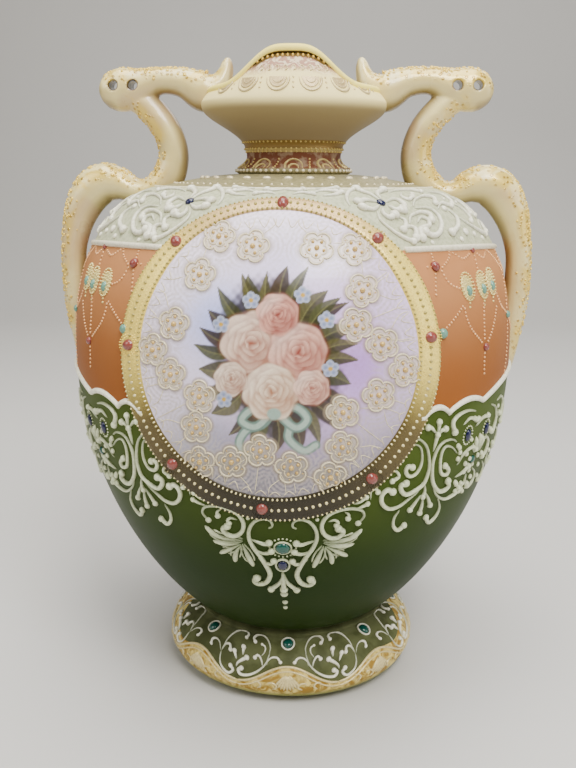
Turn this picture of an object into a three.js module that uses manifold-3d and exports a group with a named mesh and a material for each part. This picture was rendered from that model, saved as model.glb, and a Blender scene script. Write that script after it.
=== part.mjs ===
// Two-handled porcelain vase with raised slip decoration, in millimetres, +Z up.
// The origin is the centre of the foot's underside. The front medallion faces -Y and the
// two scrolled handles stand out along X. The whole vase is one hollow fired piece.
import * as THREE from 'three';
import { mergeVertices } from 'three/addons/utils/BufferGeometryUtils.js';
import Module from 'manifold-3d';

// Foot, from the ground up
const footRestRadius = 46;
const footRadius = 54.8;
const footRingHeight = 2.4;
const footRingStep = 1.5;
const footBulgeHeight = 10;
const footHeight = 25;
const footTopRadius = 42;
const recessRadius = 38;
const recessDepth = 3;
const floorThickness = 5;

// Waist between the foot and the body
const waistRadius = 40;
const waistHeight = 27.5;

// Body: widest at the belly, closing to a flat shoulder
const bellyRadius = 91;
const bellyHeight = 140;
const shoulderRadius = 54;
const shoulderHeight = 208;
const lowerFullness = 0.811;
const upperFullness = 0.57;
const upperRoundness = 2.4;

// Neck and mouth bowl
const collarRise = 4.8;
const neckBaseRadius = 22.3;
const neckRadius = 19.3;
const neckHeight = 219;
const beadRing = 1.3;
const bowlRadius = 37.6;
const bowlHeight = 240.5;
const flareSpring = 2.8;
const flareFullness = 3.2;

// Lip: low at the handles, with a broad raised flap in front and behind
const lipSideHeight = 246.5;
const flapRise = 13.5;
const flapHalfAngle = 34;
const flapSteepness = 3.6;
const throatFlapRadius = 27.6;
const throatSideRadius = 33.5;
const lipRoll = 1.8;
const throatShare = 0.86;

const wall = 4;

// Handles: centre line in the XZ plane, with the half width across it
const armHalfThickness = 6.2;
const strutHalfThickness = 6.4;
const tipReach = 25.8;
const lobeReach = 80;
const armHeight = 249.3;
const strutReach = 50;
const holeDiameter = 3.8;
const holeInsets = [15, 7];
const holeDrop = 1.9;

// Raised decoration
const medallionRadius = 56.8;
const medallionRimWidth = 8.4;
const medallionHeight = 152.4;
const medallionTilt = 11.1;
const medallionTurn = -0.8;
const rimRise = 1.6;
const jewelDiameter = 4.6;
const jewelRise = 1.7;
const rimJewelAngles = [9, 51, 89, 132, 176, 226, 265, 309];
const footJewelCount = 8;
const footJewelHeight = 23;
const lineWidth = 2.4;
const lineRise = 1.5;
const scrollWidth = 2.8;
const scallopHeight = 130.4;
const scallopRise = 3.2;
const scallopTailRise = 6.5;
const scallopCusps = [33.5, 41, 54.2, 86];
const shoulderRingHeight = 187.5;
const sink = 1.2;
const joinDepth = 1;

// Mesh fineness
const turns = 36;
const handleSides = 8;
const armSteps = 16;
const strutSteps = 32;
const rimSteps = 36;

const degrees = Math.PI / 180;
const clayColour = 0xd8cba4;

const module = await Module();
module.setup();

// Radius of the body at a height between the waist and the shoulder
function bodyRadius(z) {
  if (z <= bellyHeight) {
    const t = (bellyHeight - Math.max(z, waistHeight)) / (bellyHeight - waistHeight);
    return waistRadius + (bellyRadius - waistRadius) * (1 - t * t) ** lowerFullness;
  }
  const s = (Math.min(z, shoulderHeight) - bellyHeight) / (shoulderHeight - bellyHeight);
  return shoulderRadius + (bellyRadius - shoulderRadius) * (1 - s ** upperRoundness) ** upperFullness;
}

function neckRadiusAt(z) {
  if (z <= neckHeight) {
    const t = (neckHeight - z) / (neckHeight - shoulderHeight - collarRise);
    return neckRadius + (neckBaseRadius - neckRadius) * t * t;
  }
  const rise = Math.min((z - neckHeight) / (bowlHeight - neckHeight), 1);
  return neckRadius + (bowlRadius - neckRadius) * (1 - (1 - rise ** flareSpring) ** flareFullness);
}

// Heights given as shares of the way from one height to another
function between(low, high, shares) {
  return shares.map((share) => low + (high - low) * share);
}

const lowerShares = [0.04, 0.13, 0.26, 0.42, 0.6, 0.8, 1];
const upperShares = [0.24, 0.46, 0.65, 0.8, 0.9, 0.97];
const flareShares = [0.42, 0.6, 0.8];
const innerLowerShares = [0.12, 0.35, 0.65, 1];
const innerUpperShares = [0.45, 0.75, 0.92];

const collarHeight = shoulderHeight + collarRise;

function bodyOutline(lower, upper) {
  const heights = [
    ...between(waistHeight, bellyHeight, lower),
    ...between(bellyHeight, shoulderHeight, upper),
  ];
  return heights.map((z) => [bodyRadius(z), z]);
}

function flareOutline() {
  return between(neckHeight, bowlHeight, flareShares).map((z) => [neckRadiusAt(z), z]);
}

function footOutline() {
  const ringRadius = footRestRadius + footRingStep;
  const points = [[footRestRadius, 0], [ringRadius, footRingHeight]];
  for (const turn of [45, 90]) {
    const across = Math.sin(turn * degrees);
    const rise = 1 - Math.cos(turn * degrees);
    points.push([
      ringRadius + (footRadius - ringRadius) * across,
      footRingHeight + (footBulgeHeight - footRingHeight) * rise,
    ]);
  }
  for (const share of [0.4, 0.75, 1]) {
    points.push([
      footTopRadius + (footRadius - footTopRadius) * (1 - share * share) ** 0.7,
      footBulgeHeight + (footHeight - footBulgeHeight) * share,
    ]);
  }
  points.push([footTopRadius, (footHeight + waistHeight) / 2]);
  points.push([waistRadius, waistHeight]);
  return points;
}

// Moves a profile inwards along its own normal
function inset(points, depth, before, after) {
  return points.map(([r, z], i) => {
    const [r0, z0] = i > 0 ? points[i - 1] : before;
    const [r1, z1] = i < points.length - 1 ? points[i + 1] : after;
    const length = Math.hypot(r1 - r0, z1 - z0);
    return [r - (depth * (z1 - z0)) / length, z + (depth * (r1 - r0)) / length];
  });
}

// How far the front or back flap has risen at an angle from the front, 0 to 1
function flap(angle) {
  const fromFlap = Math.abs(Math.atan(Math.tan(angle))) / (flapHalfAngle * degrees);
  return Math.exp(-(fromFlap ** flapSteepness));
}

// Lip points at an angle: the bowl closes to the throat and rolls out at the lip
function lipRows(angle) {
  const rise = flap(angle);
  const top = lipSideHeight + flapRise * rise;
  const throat = throatSideRadius + (throatFlapRadius - throatSideRadius) * rise;
  const height = top - bowlHeight;
  const rows = [];
  for (const share of [0.45, throatShare]) {
    const closing = (share / throatShare) ** 1.3;
    rows.push([bowlRadius - (bowlRadius - throat) * closing, bowlHeight + height * share]);
  }
  rows.push([throat + lipRoll, top - lipRoll * 0.6]);
  rows.push([throat + lipRoll * 0.3, top]);
  rows.push([throat - wall * 0.6, top - lipRoll * 0.6]);
  rows.push([throat - wall, bowlHeight + height * 0.7]);
  rows.push([(bowlRadius + throat) / 2 - wall * 0.9, bowlHeight + height * 0.35]);
  return rows;
}

// The whole hollow form: every row is a ring of points, closed on the axis at both floors
function hollowForm() {
  const body = bodyOutline(lowerShares, upperShares);
  const bodyInside = bodyOutline(innerLowerShares, innerUpperShares);
  const flare = flareOutline();
  const foot = footOutline();
  const shoulder = [shoulderRadius, shoulderHeight];
  const collarPoints = [shoulder, [(shoulderRadius + neckBaseRadius) / 2, shoulderHeight + collarRise * 0.7]];
  const neckPoints = [[neckRadiusAt((collarHeight + neckHeight) / 2 + beadRing), (collarHeight + neckHeight) / 2 + beadRing]];
  const outer = [
    [0, recessDepth],
    [recessRadius, recessDepth],
    [recessRadius + recessDepth * 0.5, 0],
    ...foot,
    ...body,
    ...collarPoints,
    [neckBaseRadius, collarHeight],
    [neckBaseRadius + beadRing, collarHeight + beadRing],
    [neckBaseRadius - beadRing * 0.4, collarHeight + 2 * beadRing],
    ...neckPoints,
    [neckRadius, neckHeight],
    ...flare,
    [bowlRadius, bowlHeight],
  ];
  const floor = recessDepth + floorThickness;
  const innerFoot = [
    [0, floor],
    [footRestRadius, floor],
    [footRadius - wall, footBulgeHeight + wall * 0.5],
    [footTopRadius + (footRadius - footTopRadius) * 0.5 - wall * 0.6, footHeight - wall * 1.7],
    [waistRadius - wall, waistHeight - wall * 0.4],
  ];
  const innerBody = inset(bodyInside, wall, [waistRadius, waistHeight], shoulder);
  const innerNeck = [
    [shoulderRadius, shoulderHeight - wall],
    [neckBaseRadius - wall * 0.2, collarHeight - wall],
    [neckBaseRadius - wall * 0.9, collarHeight + beadRing],
    [neckRadius - wall, neckHeight],
    ...inset(flare, wall, [neckRadius, neckHeight], [bowlRadius, bowlHeight]),
    [bowlRadius - wall, bowlHeight + wall * 0.3],
  ];
  const inner = [...innerFoot, ...innerBody, ...innerNeck].reverse();
  const angleRows = [];
  for (let i = 0; i < turns; i++) {
    const angle = (i / turns) * 2 * Math.PI;
    angleRows.push([...outer, ...lipRows(angle), ...inner]);
  }
  return revolvedGrid(angleRows);
}

function around(r, z, angle) {
  return [r * Math.sin(angle), -r * Math.cos(angle), z];
}

// Closes one profile for each angle into a mesh whose first and last rows lie on the axis
function revolvedGrid(angleRows) {
  const rows = angleRows[0].length;
  const positions = [];
  for (let i = 0; i < angleRows.length; i++) {
    const angle = (i / angleRows.length) * 2 * Math.PI;
    for (const [r, z] of angleRows[i]) positions.push(...around(r, z, angle));
  }
  const index = [];
  for (let i = 0; i < angleRows.length; i++) {
    const here = i * rows;
    const next = ((i + 1) % angleRows.length) * rows;
    for (let j = 0; j < rows - 1; j++) {
      if (j > 0) index.push(here + j, next + j, here + j + 1);
      if (j < rows - 2) index.push(next + j, next + j + 1, here + j + 1);
    }
  }
  return meshGeometry(positions, index);
}

function meshGeometry(positions, index) {
  const geometry = new THREE.BufferGeometry();
  geometry.setAttribute('position', new THREE.Float32BufferAttribute(positions, 3));
  geometry.setIndex(index);
  return geometry;
}

// Joins rings of equal length into a tube, closed end to end or capped by a fan at each end
function tube(rings, closed) {
  const sides = rings[0].length;
  const positions = rings.flat(2);
  const index = [];
  const steps = closed ? rings.length : rings.length - 1;
  for (let i = 0; i < steps; i++) {
    for (let j = 0; j < sides; j++) {
      const a = i * sides + j;
      const b = i * sides + ((j + 1) % sides);
      const c = ((i + 1) % rings.length) * sides + ((j + 1) % sides);
      const d = ((i + 1) % rings.length) * sides + j;
      index.push(a, b, c, a, c, d);
    }
  }
  if (!closed) {
    const last = (rings.length - 1) * sides;
    for (let j = 1; j < sides - 1; j++) {
      index.push(0, j + 1, j);
      index.push(last, last + j, last + j + 1);
    }
  }
  return meshGeometry(positions, index);
}

// A smooth limb in the XZ plane through stations of x, z, half width and half thickness
function limb(stations, steps) {
  const path = new THREE.CatmullRomCurve3(stations.map(([x, z]) => new THREE.Vector3(x, 0, z)), false, 'centripetal');
  const sizes = new THREE.CatmullRomCurve3(stations.map(([, , a, b], i) => new THREE.Vector3(a, b, i)), false, 'centripetal');
  const rings = [];
  for (let i = 0; i <= steps; i++) {
    const t = i / steps;
    const centre = path.getPoint(t);
    const along = path.getTangent(t);
    const size = sizes.getPoint(t);
    const ring = [];
    for (let j = 0; j < handleSides; j++) {
      const turn = (j / handleSides) * 2 * Math.PI;
      const across = size.x * Math.cos(turn);
      ring.push([centre.x - along.z * across, size.y * Math.sin(turn), centre.z + along.x * across]);
    }
    rings.push(ring);
  }
  return solid(tube(rings, false));
}

// A closed geometry as a solid, turned right side out if its winding is inside out
function solid(geometry) {
  geometry.deleteAttribute('normal');
  geometry.deleteAttribute('uv');
  const merged = mergeVertices(geometry, 1e-5);
  const points = merged.attributes.position.array;
  const corners = Uint32Array.from(merged.index.array);
  if (signedVolume(points, corners) < 0) {
    for (let i = 0; i < corners.length; i += 3) {
      [corners[i], corners[i + 1]] = [corners[i + 1], corners[i]];
    }
  }
  const mesh = new module.Mesh({ numProp: 3, vertProperties: Float32Array.from(points), triVerts: corners });
  return new module.Manifold(mesh);
}

function signedVolume(points, corners) {
  const at = (i) => new THREE.Vector3().fromArray(points, 3 * i);
  let volume = 0;
  for (let i = 0; i < corners.length; i += 3) {
    volume += at(corners[i]).dot(at(corners[i + 1]).cross(at(corners[i + 2])));
  }
  return volume;
}

// One handle on +X: arm with its leaf tip and lobe, strut, and the long arc with its tail
function handle() {
  const tipHeight = armHeight + 9.2;
  const arm = limb([
    [tipReach, tipHeight, 0.8, 1.2],
    [tipReach + 0.6, tipHeight - 4, 2.2, 3.4],
    [tipReach + 4, armHeight - 1.3, 4.6, 6],
    [bowlRadius + 0.6, armHeight - 3, 7.2, armHalfThickness + 1.2],
    [bowlRadius + 8, armHeight - 0.4, 5.8, armHalfThickness],
    [(bowlRadius + lobeReach) / 2 - 4, armHeight, 5.4, armHalfThickness - 0.4],
    [lobeReach - 16, armHeight - 2.8, 7.9, armHalfThickness],
    [lobeReach - 8, armHeight - 3.4, 8.5, armHalfThickness],
    [lobeReach - 2.6, armHeight - 3.4, 5.6, armHalfThickness - 1.4],
    [lobeReach, armHeight - 3.4, 1.6, 2],
  ], armSteps);
  const seat = shoulderHeight;
  const rise = armHeight - seat;
  const belly = bellyRadius;
  const strut = limb([
    [strutReach + 16, seat + 0.87 * rise, 5.6, strutHalfThickness - 1.4],
    [strutReach + 9.5, seat + 0.75 * rise, 5.7, strutHalfThickness - 0.6],
    [strutReach + 3.5, seat + 0.58 * rise, 5.8, strutHalfThickness],
    [strutReach + 0.2, seat + 0.4 * rise, 5.9, strutHalfThickness],
    [strutReach, seat + 0.23 * rise, 6.3, strutHalfThickness],
    [shoulderRadius - 1, seat + 2.5, 6.6, strutHalfThickness + 0.4],
    [shoulderRadius + 6, seat - 2, 5.2, strutHalfThickness + 0.6],
    [belly - 24.5, seat - 2.2, 4.9, strutHalfThickness + 0.6],
    [belly - 18, seat + 0.3, 6.8, strutHalfThickness + 1],
    [belly - 12, seat + 0.8, 8.2, strutHalfThickness + 1],
    [belly - 6.5, seat - 2.5, 8.4, strutHalfThickness + 0.8],
    [belly - 2, seat - 9.5, 7.4, strutHalfThickness + 0.4],
    [belly + 1, seat - 18, 6, strutHalfThickness],
    [belly + 2.9, seat - 27, 5.3, strutHalfThickness - 0.4],
    [belly + 3.1, seat - 38, 5.2, strutHalfThickness - 0.8],
    [belly + 2.4, seat - 50, 5, strutHalfThickness - 1.4],
    [belly + 1.3, seat - 62, 4.3, strutHalfThickness - 2],
    [belly, seat - 73, 3.4, strutHalfThickness - 3],
    [belly - 1, seat - 82, 2, strutHalfThickness - 4.4],
  ], strutSteps);
  let form = arm.add(strut);
  for (const inset of holeInsets) {
    const drill = new THREE.CylinderGeometry(holeDiameter / 2, holeDiameter / 2, 4 * armHalfThickness, 8);
    drill.translate(lobeReach - inset, 0, armHeight - holeDrop);
    form = form.subtract(solid(drill));
  }
  return form;
}

// A point on the body at an angle from the front and a height, lifted along the normal
function onBody(angle, z, lift) {
  const step = 0.05;
  const slope = (bodyRadius(z + step) - bodyRadius(z - step)) / (2 * step);
  const length = Math.hypot(1, slope);
  return around(bodyRadius(z) + lift / length, z - (lift * slope) / length, angle);
}

// A point of the front medallion: flat coordinates in a plane that leans back by the tilt,
// carried straight onto the body
function onMedallion(x, up, lift) {
  const lean = medallionTilt * degrees;
  const depth = Math.sqrt(bodyRadius(medallionHeight) ** 2 - (0.6 * medallionRadius) ** 2);
  const target = up + medallionHeight * Math.cos(lean) - depth * Math.sin(lean);
  let low = waistHeight;
  let high = shoulderHeight - 0.01;
  for (let i = 0; i < 30; i++) {
    const z = (low + high) / 2;
    const y = Math.sqrt(Math.max(bodyRadius(z) ** 2 - x * x, 0));
    if (z * Math.cos(lean) - y * Math.sin(lean) < target) low = z;
    else high = z;
  }
  const angle = Math.asin(THREE.MathUtils.clamp(x / bodyRadius(low), -1, 1));
  return onBody(angle + medallionTurn * degrees, low, lift);
}

function medallionRim() {
  const rings = [];
  const outside = medallionRadius;
  const inside = medallionRadius - medallionRimWidth;
  for (let i = 0; i < rimSteps; i++) {
    const turn = (i / rimSteps) * 2 * Math.PI;
    const at = (radius, lift) => onMedallion(radius * Math.cos(turn), radius * Math.sin(turn), lift);
    rings.push([
      at(outside, -sink),
      at(outside - rimRise * 0.5, rimRise),
      at(inside + rimRise * 0.5, rimRise),
      at(inside, -sink),
    ]);
  }
  return solid(tube(rings, true));
}

// A low dome seated on the surface, from a function that places its own flat coordinates
function dome(place, diameter, rise) {
  const sides = 6;
  const positions = [...place(0, 0, rise), ...place(0, 0, -sink)];
  for (let j = 0; j < sides; j++) {
    const turn = (j / sides) * 2 * Math.PI;
    const c = Math.cos(turn) * diameter / 2;
    const s = Math.sin(turn) * diameter / 2;
    positions.push(...place(c * 0.7, s * 0.7, rise * 0.7), ...place(c, s, -sink));
  }
  const index = [];
  for (let j = 0; j < sides; j++) {
    const a = 2 + 2 * j;
    const b = 2 + 2 * ((j + 1) % sides);
    index.push(0, a, b, a, a + 1, b + 1, a, b + 1, b, 1, b + 1, a + 1);
  }
  return solid(meshGeometry(positions, index));
}

function medallionJewels() {
  const seat = medallionRadius - medallionRimWidth / 2;
  return rimJewelAngles.map((angle) => {
    const turn = angle * degrees;
    const place = (x, up, lift) =>
      onMedallion(seat * Math.cos(turn) + x, seat * Math.sin(turn) + up, lift + rimRise);
    return dome(place, jewelDiameter, jewelRise);
  });
}

function footJewels() {
  const jewels = [];
  const slope = (footRadius - footTopRadius) / (footHeight - footBulgeHeight);
  for (let i = 0; i < footJewelCount; i++) {
    const angle = (i / footJewelCount) * 2 * Math.PI;
    const place = (x, up, lift) => {
      const share = (footJewelHeight + up * 0.6 - footBulgeHeight) / (footHeight - footBulgeHeight);
      const r = footTopRadius + (footRadius - footTopRadius) * (1 - share * share) ** 0.7;
      return around(r + lift * 0.7, footJewelHeight + up * 0.6 + lift * 0.7 * slope, angle + x / r);
    };
    jewels.push(dome(place, jewelDiameter, jewelRise));
  }
  return jewels;
}

// A raised line over the body through points of angle in degrees and height
function ridge(points, width) {
  const flat = points.map(([angle, z]) => new THREE.Vector2(angle * degrees, z));
  const rings = flat.map((point, i) => {
    const before = flat[Math.max(i - 1, 0)];
    const after = flat[Math.min(i + 1, flat.length - 1)];
    const r = bodyRadius(point.y);
    const along = new THREE.Vector2((after.x - before.x) * r, after.y - before.y).normalize();
    const at = (side, lift) => onBody(point.x - (along.y * side) / r, point.y + along.x * side, lift);
    return [at(-width / 2, -sink), at(0, lineRise), at(width / 2, -sink)];
  });
  return solid(tube(rings, false));
}

// Raised scalloped line on one quarter, from the medallion round to beneath the handle
function scallopLine(side) {
  const points = [];
  const last = scallopCusps.length - 1;
  const span = scallopCusps[last] - scallopCusps[0];
  for (let i = 0; i < last; i++) {
    const steps = i === last - 1 ? 6 : 4;
    for (let j = i === 0 ? 0 : 1; j <= steps; j++) {
      const share = j / steps;
      const angle = scallopCusps[i] + (scallopCusps[i + 1] - scallopCusps[i]) * share;
      const climb = scallopTailRise * ((angle - scallopCusps[0]) / span) ** 2;
      points.push([side * angle, scallopHeight + climb + scallopRise * Math.sin(Math.PI * share)]);
    }
  }
  return ridge(points, lineWidth);
}

function shoulderRing(side) {
  const points = [];
  const steps = 7;
  const start = 33;
  const end = 86;
  for (let j = 0; j <= steps; j++) {
    const share = j / steps;
    points.push([side * (start + (end - start) * share), shoulderRingHeight - 4 * share * share]);
  }
  return ridge(points, lineWidth);
}

// A scroll on one side: its points lie across and up along the surface from an angle and height
function scroll(side, centreAngle, centreHeight, points) {
  const slope = bodyRadius(centreHeight + 0.5) - bodyRadius(centreHeight - 0.5);
  const climb = 1 / Math.hypot(1, slope);
  return ridge(points.map(([across, up]) => {
    const z = centreHeight + up * climb;
    return [side * (centreAngle + across / bodyRadius(z) / degrees), z];
  }), scrollWidth);
}

// The main scrolls: two that part below the scalloped line, the volute beside them that reaches
// towards the front, and the long S of the pendant under the medallion
const scrolls = [
  [37.5, 104, [[-11, 18.5], [-4.1, 16], [-1.4, 9], [-1.8, 1], [-8.4, -3], [-12.3, 1], [-10.4, 3.4]]],
  [37.5, 104, [[12.2, 14.2], [5, 15.8], [1, 9.4], [3, -0.6], [9.6, -5.8], [12.8, -2.6]]],
  [37.5, 104, [[-3.4, -1.6], [-8, -5.8], [-14.6, -8], [-19.2, -3], [-16.4, 0.4]]],
  [0.8, 80, [[4.4, 14.6], [9.4, 14.4], [12.2, 6.8], [8.6, -2.4], [5, -12.4], [8.4, -18.6], [11, -15.6]]],
];

function frontRelief() {
  const pieces = [medallionRim(), ...medallionJewels()];
  for (const side of [-1, 1]) {
    pieces.push(scallopLine(side), shoulderRing(side));
    for (const place of scrolls) pieces.push(scroll(side, ...place));
  }
  return pieces;
}

// The back is plainer: rim, scalloped line and shoulder ring only
function backRelief() {
  const pieces = [medallionRim()];
  for (const side of [-1, 1]) pieces.push(scallopLine(side), shoulderRing(side));
  return pieces.map((piece) => piece.rotate([0, 0, 180]));
}

function vaseSolid() {
  const right = handle();
  let outside = right.add(right.rotate([0, 0, 180]));
  for (const piece of [...frontRelief(), ...backRelief(), ...footJewels()]) outside = outside.add(piece);
  return solid(hollowForm()).add(outside.subtract(cavity()));
}

// The inside of the body, carried a little into the wall: what is joined on outside stops there
function cavity() {
  const depth = wall - joinDepth;
  const body = bodyOutline(innerLowerShares, innerUpperShares);
  const ceiling = shoulderHeight - depth;
  const rows = [
    [0, waistHeight],
    [waistRadius - depth, waistHeight],
    ...inset(body, depth, [waistRadius, waistHeight], [shoulderRadius, shoulderHeight]),
    [shoulderRadius, ceiling],
    [0, ceiling],
  ];
  return solid(revolvedGrid(Array(turns).fill(rows)));
}

function toMesh(manifold, name, material) {
  const { vertProperties, triVerts, numProp } = manifold.getMesh();
  const positions = [];
  for (let i = 0; i < vertProperties.length; i += numProp) {
    positions.push(vertProperties[i], vertProperties[i + 1], vertProperties[i + 2]);
  }
  const geometry = meshGeometry(positions, Array.from(triVerts));
  geometry.computeVertexNormals();
  const mesh = new THREE.Mesh(geometry, material);
  mesh.name = name;
  return mesh;
}

const glazedPorcelain = new THREE.MeshStandardMaterial({ color: clayColour, roughness: 0.3, metalness: 0 });

const vaseGroup = new THREE.Group();
vaseGroup.add(toMesh(vaseSolid(), 'vase', glazedPorcelain));

export default vaseGroup;
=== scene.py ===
"""Two-handled porcelain vase: painted grounds, raised slip, gilding, beading and enamel jewels.

Lengths inside the shape functions are millimetres; a mesh is written in metres.
Angles round the vase run from the front (-Y) towards the right handle (+X).
"""

import math

import bmesh
import bpy
import numpy as np
from bpy.props import FloatProperty, FloatVectorProperty, IntProperty, PointerProperty
from bpy.types import Operator, Panel, PropertyGroup
from mathutils import Matrix, Vector


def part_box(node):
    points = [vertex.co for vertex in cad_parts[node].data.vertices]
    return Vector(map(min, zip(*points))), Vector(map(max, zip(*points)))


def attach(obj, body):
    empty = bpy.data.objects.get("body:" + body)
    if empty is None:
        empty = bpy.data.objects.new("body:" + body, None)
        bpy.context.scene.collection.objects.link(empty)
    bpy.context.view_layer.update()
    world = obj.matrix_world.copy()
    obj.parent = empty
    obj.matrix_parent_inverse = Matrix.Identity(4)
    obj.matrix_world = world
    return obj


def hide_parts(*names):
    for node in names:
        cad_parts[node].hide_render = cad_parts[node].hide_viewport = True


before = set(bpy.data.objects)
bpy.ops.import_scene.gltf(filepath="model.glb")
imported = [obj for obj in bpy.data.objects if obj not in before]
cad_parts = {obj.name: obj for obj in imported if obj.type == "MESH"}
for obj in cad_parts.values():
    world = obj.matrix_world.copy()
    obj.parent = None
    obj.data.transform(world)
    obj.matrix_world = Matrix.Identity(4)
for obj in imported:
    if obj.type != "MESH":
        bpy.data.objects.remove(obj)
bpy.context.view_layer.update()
LOW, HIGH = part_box("vase")

bl_info = {
    "name": "Two-handled vase",
    "version": (1, 0, 0),
    "blender": (4, 5, 0),
    "location": "View3D > Sidebar > Vase",
    "description": "Builds a porcelain vase with scrolled handles and raised decoration",
    "category": "Add Mesh",
}

MM = 0.001
SEED = 11


def length(name, default, description):
    """A length property in metres."""
    return FloatProperty(name=name, description=description, default=default, min=0.0, unit="LENGTH")


def colour(name, default, description):
    """A colour property, as linear red, green and blue."""
    return FloatVectorProperty(name=name, description=description, default=default, size=3,
                               min=0.0, max=1.0, subtype="COLOR")


def paint(code):
    """A colour written as a hex code, turned into linear red, green and blue."""
    channels = [int(code[i:i + 2], 16) / 255 for i in (0, 2, 4)]
    return tuple(c / 12.92 if c <= 0.04045 else ((c + 0.055) / 1.055) ** 2.4 for c in channels)


class VaseSizes(PropertyGroup):
    """Sizes of the vase."""
    height: length("Height", float(HIGH[2] - LOW[2]), "Foot to the top of the lip flaps")
    belly_radius: length("Belly radius", float(HIGH[1]), "Largest radius of the body")
    foot_radius: length("Foot radius", 0.0548, "Largest radius of the foot")
    waist_radius: length("Waist radius", 0.040, "Radius between foot and body")
    shoulder_radius: length("Shoulder radius", 0.054, "Radius of the edge above the shoulder")
    neck_radius: length("Neck radius", 0.0193, "Narrowest radius of the neck")
    bowl_radius: length("Bowl radius", 0.0376, "Largest radius of the mouth")
    wall: length("Wall", 0.004, "Thickness of the porcelain")
    medallion_radius: length("Medallion radius", 0.0568, "Outside of the gilt rim")
    rim_width: length("Rim width", 0.0084, "Width of the gilt rim")
    columns: IntProperty(name="Columns", description="Steps round the vase", default=288, min=24)


class VaseColours(PropertyGroup):
    """Colours of the glaze, slip, gilding and enamel."""
    ivory: colour("Ivory", paint("FBE9A2"), "Handles and bowl")
    # Taupe: the bowl's underside, beige darkened partly as painted shade
    taupe_with_painted_shade: colour("Taupe", paint("9E8C62"), "Underside of the bowl")
    celadon: colour("Celadon", paint("C0C1A2"), "Shoulder ground")
    terracotta: colour("Terracotta", paint("8E5426"), "Band below the shoulder")
    blush: colour("Blush", paint("B98052"), "Top of the terracotta band")
    leaf_green: colour("Leaf green", paint("47561F"), "Upper part of the green ground")
    # Olive: the green ground's lower part, darkened partly as painted shade
    olive_with_painted_shade: colour("Olive", paint("1F300B"), "Lower part of the green ground")
    slip: colour("Slip", paint("F6F4DE"), "Raised white slip")
    sheer: colour("Sheer slip", paint("DCE4BC"), "Raised slip on the green ground")
    ruby: colour("Ruby", paint("824039"), "Red enamel")
    emerald: colour("Emerald", paint("0B4A3E"), "Green enamel")
    sapphire: colour("Sapphire", paint("0D143C"), "Blue enamel")
    inside: colour("Inside", paint("E6E1D2"), "Glaze inside the vase")


def smooth(points, count):
    """A Catmull-Rom curve through control points: each span blends its four nearest points."""
    p = np.asarray(points, float)
    p = np.vstack([2 * p[0] - p[1], p, 2 * p[-1] - p[-2]])
    t = np.linspace(0, len(p) - 3 - 1e-9, count)
    i = t.astype(int)
    t = (t - i)[:, None]
    a, b, c, d = p[i], p[i + 1], p[i + 2], p[i + 3]
    return 0.5 * (2 * b + (c - a) * t + (2 * a - 5 * b + 4 * c - d) * t ** 2
                  + (3 * b - a - 3 * c + d) * t ** 3)


def unit(vectors):
    """Vectors divided by their lengths."""
    return vectors / np.maximum(np.linalg.norm(vectors, axis=-1, keepdims=True), 1e-12)


def lengths_along(points):
    """Distance along a line of points, for each of them."""
    return np.concatenate([[0], np.cumsum(np.linalg.norm(np.diff(points, axis=0), axis=1))])


def full_turn(count):
    """Angles at even steps once round."""
    return np.arange(count) * 2 * math.pi / count


def step(low, high, x):
    """0 below low, 1 above high and a smooth cubic between."""
    t = np.clip((x - low) / (high - low), 0, 1)
    return t * t * (3 - 2 * t)


def blend(a, b, share):
    """Colour a turned into colour b by a share for each point."""
    share = np.asarray(share)[..., None]
    return np.asarray(a) * (1 - share) + np.asarray(b) * share


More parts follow.
